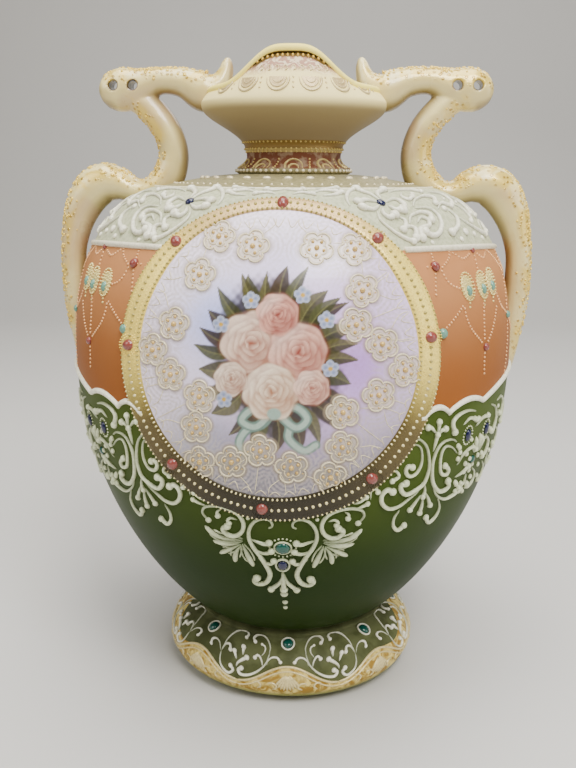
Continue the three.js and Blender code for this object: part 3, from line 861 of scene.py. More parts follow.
# Handle stations: x, z, half width in the plane of the handles, half thickness
ARM = (
    (26.8, 258.4, 0.9, 1.4), (27.1, 256, 2.3, 3), (27.9, 252.4, 3.3, 4.4), (30.4, 248, 5.4, 6.2),
    (36, 245.2, 8.2, 7.6), (45.5, 248.7, 5.9, 6.2), (55, 249.3, 5.4, 5.8), (64, 246.5, 7.9, 6.2),
    (72, 245.9, 8.5, 6.2), (77.4, 245.9, 5.8, 4.9), (79.7, 245.9, 2, 2.2),
)
STRUT = (
    (66, 243.8, 5.6, 5), (59.5, 239, 5.7, 5.8), (53.5, 232, 5.8, 6.4), (50.2, 224.5, 5.9, 6.4),
    (50, 217.5, 6.3, 6.4), (53, 210.5, 6.6, 6.8), (60, 206, 5.2, 7), (66.5, 205.8, 4.9, 7),
    (73, 208.3, 6.8, 7.4), (79, 208.8, 8.2, 7.4), (84.5, 205.5, 8.4, 7.2), (89, 198.5, 7.4, 6.8),
    (92, 190, 6, 6.4), (93.8, 181, 5.3, 6), (94, 170, 5.2, 5.6), (93.4, 158, 5, 5),
    (92.3, 146, 4.3, 4.4), (91, 135, 3.4, 3.4), (90, 126, 1.8, 2),
)
LOBE_HOLES = (65.0, 73.0)
HOLE_HEIGHT = 247.4
HOLE_RADIUS = 1.9
HOLE_SIDES = 24
DRILL_REACH = 12
LIMB_SIDES = 28
VOXEL = 0.55


def limb_frame(stations, count):
    """Centres, outward directions and half sizes along a limb."""
    rows = smooth(stations, count)
    centre = rows[:, :2]
    along = unit(np.gradient(centre, axis=0))
    outward = np.stack([-along[:, 1], along[:, 0]], -1)
    return centre, outward, rows[:, 2:]


def limb_object(stations, count):
    """A limb as a closed tube: centre + outward * a * cos(turn) + y * b * sin(turn)."""
    turn = full_turn(LIMB_SIDES)
    centre, outward, half = limb_frame(stations, count)
    across = half[:, :1] * np.cos(turn)
    x = centre[:, :1] + outward[:, :1] * across
    z = centre[:, 1:] + outward[:, 1:] * across
    return tube_object("limb", np.stack([x, half[:, 1:] * np.sin(turn), z], -1))


def tube_object(name, rings):
    """A closed tube through rings of points, as a tool object."""
    piece = Piece()
    piece.grid(rings, PLAIN_TINT, wrap_columns=True)
    count, sides = rings.shape[:2]
    first = np.arange(sides)
    piece.close(first, first + (count - 1) * sides)
    return tool_object(name, piece)


def tool_object(name, piece):
    """A mesh object that helps to make another and is removed afterwards."""
    mesh = piece.mesh(name)
    mesh.update()
    if signed_volume(mesh) < 0:
        mesh.flip_normals()
    result = bpy.data.objects.new(name, mesh)
    bpy.context.scene.collection.objects.link(result)
    return result


def mesh_points(mesh):
    """Places of a mesh's points."""
    points = np.empty(len(mesh.vertices) * 3)
    mesh.vertices.foreach_get("co", points)
    return points.reshape(-1, 3)


def signed_volume(mesh):
    """Volume enclosed by a mesh, negative if its faces point inwards."""
    mesh.calc_loop_triangles()
    corners = np.empty(len(mesh.loop_triangles) * 3, int)
    mesh.loop_triangles.foreach_get("vertices", corners)
    a, b, c = mesh_points(mesh)[corners].reshape(-1, 3, 3).transpose(1, 0, 2)
    return float(np.sum(a * np.cross(b, c))) / 6


def evaluated_mesh(source):
    """A copy of an object's mesh with its modifiers applied."""
    bpy.context.view_layer.update()
    graph = bpy.context.evaluated_depsgraph_get()
    return bpy.data.meshes.new_from_object(source.evaluated_get(graph))


def drill_object(x):
    """A straight cylinder from front to back at one hole of the lobe."""
    turn = full_turn(HOLE_SIDES)
    ring = np.stack([x + HOLE_RADIUS * np.cos(turn), 0 * turn,
                     HOLE_HEIGHT + HOLE_RADIUS * np.sin(turn)], -1)
    half = (0, DRILL_REACH, 0)
    return tube_object("drill", np.stack([ring - half, ring + half]))


def handle_mesh():
    """Both limbs drilled, fused by a fine remesh and smoothed."""
    drills = [drill_object(x) for x in LOBE_HOLES]
    fused = Piece()
    for stations, count in ((ARM, 70), (STRUT, 170)):
        limb = limb_object(stations, count)
        for drill in drills:
            cut = limb.modifiers.new("cut", "BOOLEAN")
            cut.operation = "DIFFERENCE"
            cut.solver = "EXACT"
            cut.object = drill
        mesh = evaluated_mesh(limb)
        faces = [np.array([polygon.vertices]) for polygon in mesh.polygons]
        fused.add(mesh_points(mesh) / MM, faces, PLAIN_TINT)
        bpy.data.objects.remove(limb)
    for drill in drills:
        bpy.data.objects.remove(drill)
    whole = tool_object("handle blank", fused)
    remesh = whole.modifiers.new("remesh", "REMESH")
    remesh.mode = "VOXEL"
    remesh.voxel_size = VOXEL * MM
    soften = whole.modifiers.new("soften", "SMOOTH")
    soften.factor = 0.5
    soften.iterations = 6
    mesh = evaluated_mesh(whole)
    bpy.data.objects.remove(whole)
    return mesh


def handles(material):
    """Both handles in one piece, with how shaded and how gilded each point is."""
    mesh = handle_mesh()
    points = mesh_points(mesh) / MM
    faces = np.array([list(polygon.vertices) for polygon in mesh.polygons])
    shade, dust = spread(mesh, handle_marks(points), 26)
    normals = np.array([vertex.normal for vertex in mesh.vertices])
    # Painted shade on faces that turn downwards
    shade = np.maximum(shade, 0.5 * step(0.75, -0.1, normals[:, 2]))
    # Painted shadow inside the lobe's holes, stronger than any other shade
    for x in LOBE_HOLES:
        near = np.hypot(points[:, 0] - x, points[:, 2] - HOLE_HEIGHT)
        shade = np.maximum(shade, 1.3 * step(2.5, 2.1, near))
    piece = Piece()
    piece.add(points, [faces], PLAIN_TINT)
    piece.add(points * (-1, -1, 1), [faces], PLAIN_TINT)
    return piece.build("handles", material, {"shade": np.tile(shade, 2), "dust": np.tile(dust, 2)})


def spread(mesh, marks, rounds):
    """Evens marks out over a mesh: each round gives every point the mean of its neighbours."""
    ends = np.empty(len(mesh.edges) * 2, int)
    mesh.edges.foreach_get("vertices", ends)
    a, b = ends.reshape(-1, 2).T
    count = len(mesh.vertices)
    degree = np.bincount(ends, minlength=count)
    result = []
    for mark in marks:
        for _ in range(rounds):
            mark = (np.bincount(a, mark[b], count) + np.bincount(b, mark[a], count)) / degree
        result.append(mark)
    return result


def handle_marks(points):
    """Shade on the side turned to the body and gold dust along the outer side of the limbs.

    With out as the distance from the limb's middle, outwards, over its half width: shade = -out and
    dust = exp(-((out - 0.55) / 0.4)^2), both weaker at the lower end.
    """
    shade = np.zeros(len(points))
    dust = np.zeros(len(points))
    best = np.full(len(points), 1e9)
    for stations, count in ((ARM, 60), (STRUT, 150)):
        centre, outward, half = limb_frame(stations, count)
        for i in range(count):
            off = points[:, [0, 2]] - centre[i]
            far = np.hypot(np.hypot(off[:, 0], off[:, 1]), points[:, 1])
            nearer = far < best
            out = off @ outward[i] / half[i, 0]
            shade = np.where(nearer, np.clip(-out, 0, 1), shade)
            dust = np.where(nearer, np.exp(-((out - 0.55) / 0.4) ** 2), dust)
            best = np.where(nearer, far, best)
    low = step(150, 128, points[:, 2])
    return shade * (1 - 0.4 * low), dust * (1 - low)


class Canvas:
    """Colours for a sheet of points, painted over in soft-edged strokes."""

    def __init__(self, x, y, ground):
        self.x = x
        self.y = y
        self.colour = ground

    def lay(self, share, tint):
        """Covers the sheet with a tint where share is 1."""
        self.colour = blend(self.colour, tint, np.clip(share, 0, 1))

    def local(self, x, y, angle):
        """Coordinates along and across a direction, from a point."""
        dx = self.x - x
        dy = self.y - y
        return (dx * math.cos(angle) + dy * math.sin(angle),
                dy * math.cos(angle) - dx * math.sin(angle))

    def line(self, points, width, tint):
        """A soft line through control points: covered where nearer than half its width."""
        path = smooth(points, 60)
        near = np.full(self.x.shape, 1e9)
        for px, py in path:
            near = np.minimum(near, (self.x - px) ** 2 + (self.y - py) ** 2)
        self.lay(step(width / 2 + 0.25, width / 2 - 0.2, np.sqrt(near)), tint)


# Petals of the small flowers and the florets
PETALS = 5
# Rings of a rose from the outside in: distance of the petals, how many, and their size
ROSE_RINGS = ((0.60, 6, 0.52), (0.47, 5, 0.42), (0.33, 5, 0.34), (0.20, 4, 0.26), (0.09, 3, 0.17))


def rose(canvas, x, y, size, light, deep, turn):
    """Rings of overlapping round petals, each pale at its rim and deep at its base."""
    for ring, (reach, count, petal) in enumerate(ROSE_RINGS):
        for j in range(count):
            angle = turn + 0.8 * ring + j * 2 * math.pi / count + 0.16 * math.sin(5.3 * j + ring)
            u, v = canvas.local(x + reach * size * math.cos(angle),
                                y + reach * size * math.sin(angle), angle)
            u = u + 0.12 * petal * size * np.cos(2.6 * v / (petal * size) + 1.3 * j)
            off = np.hypot(u / (petal * size * 0.86), v / (petal * size * 1.15))
            canvas.lay(step(1.3, 0.9, off) * 0.35, deep)
            tone = np.clip(0.42 + 0.62 * u / (petal * size), 0, 1)
            canvas.lay(step(1.04, 0.86, off) * 0.92, blend(deep, light, tone))
    u, v = canvas.local(x, y, math.radians(-50))
    near = step(1.15, 0.75, np.hypot(u, v) / size)
    canvas.lay(0.55 * near * step(-0.3, 0.95, u / size), deep)
    canvas.lay(0.30 * near * step(0.1, 0.9, -u / size), paint("FFF4E6"))


def leaf(canvas, x, y, angle, reach, width, light, dark):
    """A pointed leaf from its stalk: one half lighter, with a faint midrib and side veins."""
    u, v = canvas.local(x, y, angle)
    t = np.clip(u / reach, 0, 1)
    v = v - 0.08 * reach * np.sin(math.pi * t)
    half = width / 2 * np.sin(math.pi * t ** 0.8) + 1e-6
    inside = step(1.1, 0.8, np.abs(v) / half) * ((u > 0) & (u < reach))
    vein = 0.5 + 0.5 * np.cos(2 * math.pi * (u - 0.8 * np.abs(v)) / 1.9)
    tone = np.where(v > 0, 0.6, 0.2) + 0.18 * vein + 0.25 * t
    canvas.lay(inside * 0.95, blend(dark, light, np.clip(tone, 0, 1)))
    canvas.lay(inside * step(0.4, 0.1, np.abs(v)) * 0.3, paint("8C8A58"))


def small_flower(canvas, x, y, size, tint, heart):
    """Five round petals and a centre."""
    for turn in full_turn(PETALS):
        angle = turn + 0.4
        u, v = canvas.local(x + 0.55 * size * math.cos(angle),
                            y + 0.55 * size * math.sin(angle), angle)
        off = np.hypot(u, v) / (0.45 * size)
        canvas.lay(step(1.05, 0.85, off), blend(tint, paint("FFFFFF"), 0.35 * np.clip(off, 0, 1)))
    canvas.lay(step(0.28 * size, 0.2 * size, np.hypot(canvas.x - x, canvas.y - y)), heart)


def disc(radius, count):
    """A square grid pressed into a disc: x = u sqrt(1 - v^2 / 2), y = v sqrt(1 - u^2 / 2)."""
    u, v = np.meshgrid(np.linspace(-1, 1, count), np.linspace(-1, 1, count))
    return radius * u * np.sqrt(1 - v ** 2 / 2), radius * v * np.sqrt(1 - u ** 2 / 2)


def painted_ground(x, y, radius):
    """Lilac sky, bluer at the upper left, rosier at the right and dusky below."""
    u = x / radius
    v = y / radius
    sky = blend(paint("F6E6FC"), paint("DDC0F4"), step(-0.7, 0.7, u - 0.4 * v))
    sky = blend(sky, paint("A6B4F4"), 0.85 * np.exp(-((u + 0.40) ** 2 + (v - 0.25) ** 2) / 0.09))
    sky = blend(sky, paint("D9D2FA"), 0.6 * np.exp(-((u - 0.10) ** 2 + (v - 0.70) ** 2) / 0.10))
    sky = blend(sky, paint("A873C8"), 0.70 * np.exp(-((u - 0.55) ** 2 + (v + 0.05) ** 2) / 0.13))
    sky = blend(sky, paint("4E4E56"), 0.9 * step(-0.2, -0.85, v - 0.25 * u + 0.12 * np.sin(3 * u)))
    haze = 0.5 * np.exp(-((u + 0.55) ** 2 + (v + 0.55) ** 2) / 0.10)
    return blend(sky, paint("77839C"), haze)


# Leaves: stalk x and y, direction in degrees, length and width, in millimetres
LEAVES = (
    (-3, 12, 112, 17, 7), (2, 14, 84, 17, 7), (8, 11, 52, 15, 7), (13, 5, 24, 14, 7),
    (-11, 8, 146, 14, 7), (-13, -3, 184, 13, 7), (13, -5, -14, 13, 7), (12, -14, -44, 14, 7),
    (-11, -12, 214, 13, 7), (-4, -18, 250, 13, 6), (5, -19, 288, 13, 6), (0, 8, 98, 21, 5),
    (-8, 10, 130, 18, 5), (10, 8, 38, 18, 5), (14, -1, 4, 14, 5), (-14, 1, 166, 14, 5),
    (-6, -14, 232, 16, 5), (8, -15, -62, 16, 5), (4, 12, 70, 20, 5), (-12, 4, 156, 15, 5),
    (14, 2, 14, 14, 5), (-13, -8, 198, 14, 5), (13, -10, -30, 14, 5), (-2, 13, 122, 18, 5),
    (11, 10, 45, 15, 5), (1, -20, 268, 12, 5),
)
# Roses: x, y, size, first petal's turn
ROSES = ((-7.5, 5, 10.0, 0.3), (8, 2.5, 9.4, 1.4), (-1, -11, 9.2, 2.2), (1, 14.5, 6.8, 0.9),
         (-14.5, -7, 5.6, 1.8), (12.5, -9.5, 5.8, 0.1))
RIBBON_ENDS = (
    ((0, -17), (-4, -22), (-9, -24), (-12, -29), (-9, -34)),
    ((1, -17), (5, -22), (5, -27), (10, -31), (14, -29)),
    ((0, -17), (-7, -17), (-11, -21), (-6, -23), (0, -17)),
    ((0, -17), (7, -16), (11, -20), (7, -23), (0, -17)),
)


# Colours of each rose, light and deep, and of the leaves
ROSE_TINTS = (("F0D6BF", "8E4A38"), ("EBBDA8", "85352C"), ("F4E2C8", "9C6340"), ("E6AE9A", "7A2A28"),
              ("F0DCC6", "8E5740"), ("EEC9B2", "8A4034"))
LEAF_TINTS = ("4C4F2A", "3F2F18", "5A5630")
SMALL_FLOWERS = ((-18, 11), (17, 13), (18.5, -3), (-8, 19), (9, 21), (-17, -14))
# Dark masses behind the flowers: x, y, size
SHADOWS = ((0, 2, 21), (-2, 9, 17), (4, -6, 19), (0, -14, 14))


def bouquet(canvas):
    """Cream and blush roses in dark leaves, tied with a pale green ribbon."""
    for x, y, size in SHADOWS:
        off = np.hypot(canvas.x - x, (canvas.y - y) * 0.9) / size
        canvas.lay(0.85 * step(1.1, 0.7, off + 0.06 * np.sin(1.9 * canvas.x) * np.cos(1.7 * canvas.y)),
                   paint("1E180E"))
    for j, (x, y, angle, reach, width) in enumerate(LEAVES):
        light = paint(LEAF_TINTS[j % len(LEAF_TINTS)])
        leaf(canvas, x, y, math.radians(angle), reach, width, light, paint("18130A"))
    for path in RIBBON_ENDS:
        canvas.line(path, 3.2, paint("5F7A70"))
        canvas.line(path, 1.8, paint("9DB3A6"))
    for (x, y, size, turn), (light, deep) in zip(ROSES, ROSE_TINTS):
        rose(canvas, x, y, size, paint(light), paint(deep), turn)
    for x, y in SMALL_FLOWERS:
        small_flower(canvas, x, y, 3.0, paint("6E7CA6"), paint("C49B38"))
    canvas.lay(step(2.8, 2.0, np.hypot(canvas.x, (canvas.y + 18.5) * 1.2)), paint("8FA79A"))


def floret_veil(canvas, radius):
    """Sheer cream under each floret and fine cream threads between them and the rim, with tan lines of
    painted shade along the florets' raised outlines.
    """
    near = np.full(canvas.x.shape, 1e9)
    for j, (x, up) in enumerate(FLORETS):
        u, v = canvas.local(x, up, FLORET_TURN * j)
        reach = FLORET_SIZE * petal_reach(np.arctan2(v, u))
        near = np.minimum(near, np.hypot(u, v) - reach)
    ring = radius - np.hypot(canvas.x, canvas.y)
    veil = step(9.0, 5.0, near) * step(20.0, 12.0, ring)
    thread = step(0.25, 0.75, 0.5 + 0.5 * np.cos(2 * math.pi * near / 1.5))
    weave = 0.5 + 0.5 * np.cos(2.7 * canvas.x + 1.2 * np.sin(1.1 * canvas.y)) * np.cos(2.5 * canvas.y)
    net = step(17.0, 9.0, ring) * (near > 0)
    low = step(-0.25, -0.95, canvas.y / radius)
    canvas.lay(0.26 * net, blend(paint("EADFEA"), paint("8F8B90"), low))
    canvas.lay(0.45 * net * weave ** 3, blend(paint("A4989A"), paint("C9C4BE"), low))
    canvas.lay(0.45 * veil * thread * (near > 0), paint("BDB0AC"))
    canvas.lay(0.75 * step(0.3, -0.2, near), blend(paint("DDCFB6"), paint("9C968A"), low))
    # Painted shade: tan lines under the raised outlines of each floret
    canvas.lay(0.60 * step(1.2, 0.5, np.abs(near - 0.2)), paint("9A8A70"))
    canvas.lay(0.50 * step(0.9, 0.3, np.abs(near + 2.0)), paint("9A8A70"))


def rim_edges(form, turn):
    """Inner and outer radius of the gilt rim: narrower at the sides and most of all at the top.

    Each is the medallion's radius less a share of the rim's width, which shifts with the height.
    """
    top = step(0.45, 1.0, np.sin(turn))
    bottom = step(-0.3, -1.0, np.sin(turn))
    inner = form.medallion - form.rim_width * (1 - 0.24 * top)
    outer = form.medallion - form.rim_width * (0.10 + 0.12 * top - 0.14 * bottom)
    return inner, outer


def medallion_painting(form, material, back=False):
    """The round painting, just proud of the glaze; the back has a single spray."""
    radius = form.medallion - form.rim_width + 0.4
    across, up = disc(1.0, 130 if back else 270)
    reach = rim_edges(form, np.arctan2(up, across))[0] + 0.4
    x = across * reach
    y = up * reach
    canvas = Canvas(x, y, painted_ground(x, y, radius))
    if back:
        for angle, reach in ((60, 24), (105, 27), (150, 22), (20, 20), (250, 18), (300, 20)):
            leaf(canvas, 0, 0, math.radians(angle), reach, 8, paint("7C8252"), paint("353A1E"))
        rose(canvas, 0, 0, 11, paint("F3DDC8"), paint("B8705A"), 0.3)
        rose(canvas, 12, 9, 6.5, paint("F0C9B8"), paint("A95548"), 1.1)
    else:
        bouquet(canvas)
    floret_veil(canvas, radius)
    edge = step(1.0, 0.985, np.hypot(across, up))
    points = form.front(x, y, 0.22 * edge - 0.1, back)
    piece = Piece()
    if back:
        points = points[:, ::-1]
        canvas.colour = canvas.colour[:, ::-1]
    piece.grid(points, canvas.colour)
    return piece.build("painting_back" if back else "painting_front", material)


def rim_tint_with_painted_light(turn):
    """Gilding of the rim with painted light: a pale highlight above, bright yellow at the sides and
    painted shade, brown to near black, below.
    """
    high = np.sin(turn)
    side = blend(paint("FFE470"), paint("D4B47C"), step(0.6, 0.98, high))
    low = blend(side, paint("5E5026"), step(0.05, -0.5, high))
    return blend(low, paint("29230F"), step(-0.5, -1.0, high))


# Section of the rim, across and up, and the width that it is drawn for, in millimetres
RIM_SECTION = ((-0.4, -0.5), (-0.2, 0.2), (0.3, 0.6), (1.0, 0.8), (2.4, 0.85), (4.2, 0.85),
               (6.0, 0.85), (7.4, 0.8), (8.1, 0.6), (8.6, 0.2), (8.8, -0.5))
RIM_SPAN = 8.4
RIM_COLUMNS = 360
# Rows of beads on the rim: place across, size, rise, how many and sides of a bead
RIM_BEADS = ((0.5, 0.46, 0.42, 190, 6), (4.2, 0.72, 0.7, 138, 8), (7.9, 0.46, 0.42, 216, 6),
             (1.9, 0.3, 0.3, 260, 6), (6.5, 0.3, 0.3, 290, 6))
FINE_BEAD = 0.3
RUBY_RINGS = ((2.9, 18), (3.7, 24))
# Rubies round the rim, in degrees from the right
RIM_JEWELS = (9, 51, 89, 132, 176, 226, 265, 309)


def medallion_rim(form, material, back=False):
    """A low flat gilt band with a row of round beads and finer beads along both edges, tinted with
    painted light and shade.
    """
    across, lift = np.array(RIM_SECTION).T[:, :, None]
    turn = full_turn(RIM_COLUMNS)
    inner, outer = rim_edges(form, turn)
    radius = inner + (across / RIM_SPAN) * (outer - inner)
    onto = form.medallion_chart(back)
    points = onto(radius * np.cos(turn), radius * np.sin(turn), lift * np.ones(RIM_COLUMNS))
    piece = Piece()
    tint = np.broadcast_to(rim_tint_with_painted_light(turn), points.shape)
    piece.grid(points, tint, wrap_rows=True, wrap_columns=True)
    for share, size, rise, count, sides in RIM_BEADS:
        turn = full_turn(count)
        inner, outer = rim_edges(form, turn)
        radius = inner + share / RIM_SPAN * (outer - inner)
        spots = oval(0, 0, radius, radius, count)
        # Painted light on the larger beads: darker gold on the upper half, paler below
        lit = blend(paint("E9DDA4"), paint("A89A50"), step(-0.35, 0.1, np.sin(turn)))
        tint = lit if size > FINE_BEAD else rim_tint_with_painted_light(turn)
        piece.domes(onto, spots, size, rise + 0.8, tint, sides=sides, sink=-0.3, edge=0.6)
    middle = form.medallion - form.rim_width / 2
    for angle in np.radians(RIM_JEWELS):
        inner, outer = rim_edges(form, angle)
        for reach, count in RUBY_RINGS:
            if reach < (outer - inner) / 2 + 0.4:
                ring = oval(middle * math.cos(angle), middle * math.sin(angle), reach, reach, count)
                piece.domes(onto, ring, 0.32, 1.25, rim_tint_with_painted_light(angle), sides=5, sink=-0.3)
    return piece.build("rim_back" if back else "rim_front", material)


def scroll(piece, onto, points, width, tint, ball=True, thin=None):
    """A stroke of slip: from 0.45 of its width where it springs to 1.3 at its rounded end."""
    points = np.asarray(points, float)
    count = max(8, int(lengths_along(points)[-1] / 0.7))
    curve = smooth(points, count)
    swell = width * np.array([0.45, 0.75, 0.95, 1.15, 1.3])
    if thin is not None:
        tint = blend(thin, tint, np.clip(np.linspace(0.3, 1.5, count), 0, 1))
    # edge: painted shade along the stroke's sides and round its end
    piece.ridge(onto, curve, swell, 0.6 * swell, tint, sides=6, edge=0.42)
    if ball:
        end = tint[-1] if np.ndim(tint) == 2 else tint
        piece.domes(onto, points[-1:], 0.9 * width, 0.95 * width, end, sides=9, edge=0.5)


def frond(piece, onto, points, width, tint, thin):
    """A leaf of slip: narrow at both ends, with a finer lobe laid along each side.

    A lobe lies 0.4 + 0.8 * sin(pi * share) widths off the middle.
    """
    points = np.asarray(points, float)
    count = max(8, int(lengths_along(points)[-1] / 0.8))
    curve = smooth(points, count)
    swell = width * np.array([0.4, 0.9, 1.3, 1.5, 0.9])
    tints = blend(thin, tint, np.clip(np.linspace(0.15, 1.3, count), 0, 1))
    # edge: painted shade along the leaf's sides and lobes
    piece.ridge(onto, curve, swell, 0.5 * swell, tints, sides=6, edge=0.35)
    along = unit(np.gradient(curve, axis=0))
    across = np.stack([-along[:, 1], along[:, 0]], -1)
    share = np.linspace(0, 1, count)[:, None]
    off = width * (0.4 + 0.8 * np.sin(math.pi * share)) * across
    keep = int(0.8 * count)
    for side in (-1, 1):
        lobe = (curve + side * off)[:keep]
        piece.ridge(onto, lobe, 0.5 * width, 0.3 * width, tints[:keep], sides=5, edge=0.5)


def bead_row(piece, onto, points, spacing, size, rise, tint):
    """Beads at even steps along a curve."""
    curve = smooth(points, 80)
    reach = lengths_along(curve)
    count = max(2, int(round(reach[-1] / spacing)) + 1)
    even = np.linspace(0, reach[-1], count)
    spots = np.stack([np.interp(even, reach, curve[:, 0]), np.interp(even, reach, curve[:, 1])], -1)
    piece.domes(onto, spots, size, rise, tint, sides=6)


def dots(piece, onto, rows, tint, share=0.7):
    """Single drops of slip: x, up and size of each."""
    for x, up, size in rows:
        piece.domes(onto, [(x, up)], size, share * size, tint, edge=0.5)


def band(piece, form, angle, height, width, rise, tint, closed=True):
    """A rounded ridge round the vase whose height may follow the angle.

    Half an ellipse: up = width / 2 * cos(turn), lift = rise * sin(turn), its edges a little sunk.
    """
    height = np.broadcast_to(height, angle.shape)
    sides = 6
    turn = np.linspace(0, math.pi, sides)[:, None]
    s = form.s_at(height) + width / 2 * np.cos(turn)
    lift = (rise + 0.3) * np.sin(turn) - 0.3
    points = form.place(angle[None] + 0 * s, s, lift)
    first = piece.count
    piece.grid(points, tint, wrap_rows=True, wrap_columns=closed)
    if not closed:
        start = np.arange(sides) * len(angle) + first
        piece.close(start + len(angle) - 1, start)


def ring_of_beads(piece, form, height, count, size, rise, tint, start=0.0, tall=1.0, sides=8):
    """Beads at even angles round the vase at one height."""
    angle = (start + full_turn(count))[:, None]
    middle = form.s_at(height)
    radius = float(np.interp(middle, form.s, form.r))

    def onto(x, up, lift):
        return form.place(angle + x / radius, middle + up, lift)

    piece.domes(onto, np.zeros((count, 2)), size, rise, tint, sides=sides, tall=tall)


# Slip where it is laid thin over the green and the celadon grounds
SHEER_ON_GREEN = paint("74835A")
SHEER_ON_CELADON = paint("B9BE9E")


# Right and left on the front, then on the back: the side's sign and whether it is the back
QUARTERS = ((1, False), (-1, False), (1, True), (-1, True))


# Points that the slip, the swags and the jewels are laid about: degrees from the front and height
SHOULDER = (45, 196)
FESTOON = (37.5, 104)
PENDANT = (0.8, 80)
SWAG = (56, 172)


def foot_chart(form, jewel):
    """The sheet about one of the foot's jewels, counted from the front."""
    return form.chart(360 / FOOT_JEWELS * jewel + math.degrees(FOOT_TURN), FOOT_JEWEL_HEIGHT)


def on_swag_sheet(form, points):
    """Degrees from the front and heights, as across and up on the terracotta band's sheet."""
    points = np.asarray(points, float)
    s = form.s_at(points[:, 1])
    across = np.radians(points[:, 0] - SWAG[0]) * np.interp(s, form.s, form.r)
    return np.stack([across, s - form.s_at(SWAG[1])], -1)


def strokes(rows):
    """Width and points of each stroke: a row holds its width, then across and up of each point."""
    return [(row[0], np.reshape(row[1:], (-1, 2))) for row in rows]


# Strokes of slip on the shoulder
SHOULDER_STROKES = (
    (1.7, -16.9, 10.9, -17.8, 15.7, -19.4, 18.2, -19.6, 21.3),
    (1.4, -30.7, 8.8, -28.9, 13.4, -24.2, 18.7, -18, 22.6),
    (1.8, -18.4, 11, -22.7, 12.2, -26.4, 11),
    (1.8, -18.6, 9.6, -23.2, 7.1, -26.6, 8),
    (1.8, -16.2, 12.2, -14.6, 16.6, -9.5, 19.6),
    (1.9, -15.4, 10.9, -10.4, 12.6, -8.7, 9.2, -11.4, 6.2),
    (1.8, -15.8, 9.4, -14.6, 6.9, -12.2, 6.2),
    (1.9, -18.4, 8.2, -20.4, 5.2, -19.4, 3, -16.4, 4.1),
    (1.5, -21.9, 6.5, -23.3, 2, -21.3, -2.2, -18.4, -5.2, -14.9, -7.1),
    (1.6, -15.5, 3.6, -13.6, 1.8, -14.6, -0.7, -16.6, -2.3),
    (1.7, -12.6, -0.3, -9.6, 3.5, -3.6, 5.2, 0, 3.6, -1.2, 1.2),
    (1.9, -4.8, 7.4, 2.2, 7, 4.6, 3.5, 3.1, -0.8, -0.8, -4.3, -5, -5.2, -7.6, -3.6),
    (1.9, -8.6, 0.4, -5.6, 2.7, -3, 1.6, -3.6, -0.9, -6.8, -1.6, -9.4, -2.9, -10.4, -6),
    (1.7, -16.9, -3.3, -13.6, -1, -11.3, -2.4, -13, -5.8),
    (1.9, 14, 6.2, 16.1, 2.1, 12.8, -2.1, 6.6, -4.4),
    (1.5, 17.8, 2, 22.9, -1.4, 30.2, -4.7, 37, -7),
    (1.5, -4.9, 8.2, -0.7, 11.9, 6.6, 14.2, 11.6, 12.7, 9.1, 9.4),
    (1.4, -1.9, 17.9, -5.5, 14.4, -4, 12.1, -0.6, 13.7),
    (1.5, 7.4, 6.4, 13.1, 9.4, 18.5, 7.4),
    (1.4, 14, 17.4, 22.7, 15.7, 24.6, 11, 21, 8.4),
    (1.3, -9, 17.4, -3.4, 19.4, 4.3, 19.7, 9.1, 17.6),
    (1.4, 24, 8.6, 28.4, 6, 30.4, 1.4, 27, -0.6),
    (1.4, 25.6, 14.6, 32, 11.4, 36, 6.4, 34, 2.8),
    (1.4, 36.6, -4.6, 39.4, -1, 43, -2.4, 42, -6),
    (1.4, 36, 13, 41, 9.6, 44, 4, 41, 1.6),
    (1.3, -37.4, 18, -33.3, 19.6, -29.5, 18.2),
    (1.3, -36.5, 15.2, -31.7, 15.9, -27.8, 17.6),
    (1.2, -36.1, 22.6, -31.1, 21.6, -25.9, 22.6),
    (1.2, -46, 16.4, -42.4, 17.6, -38.9, 16.4),
    (1.2, -46, 21, -43, 19.6, -39.4, 20.6),
)
SHOULDER_DOTS = (
    (11.9, 6.5, 1.5), (16.6, -4.6, 1.7), (11.2, -7.4, 1.2), (23.5, -5.9, 1.2), (30.5, -8, 1.1),
    (-10.2, 8.6, 0.9), (2.4, 16.4, 1), (19.6, 12, 1), (-6.2, -7.8, 0.9), (29.6, 9.6, 0.9),
)
SHOULDER_SAPPHIRE = (-17.6, 10.6)

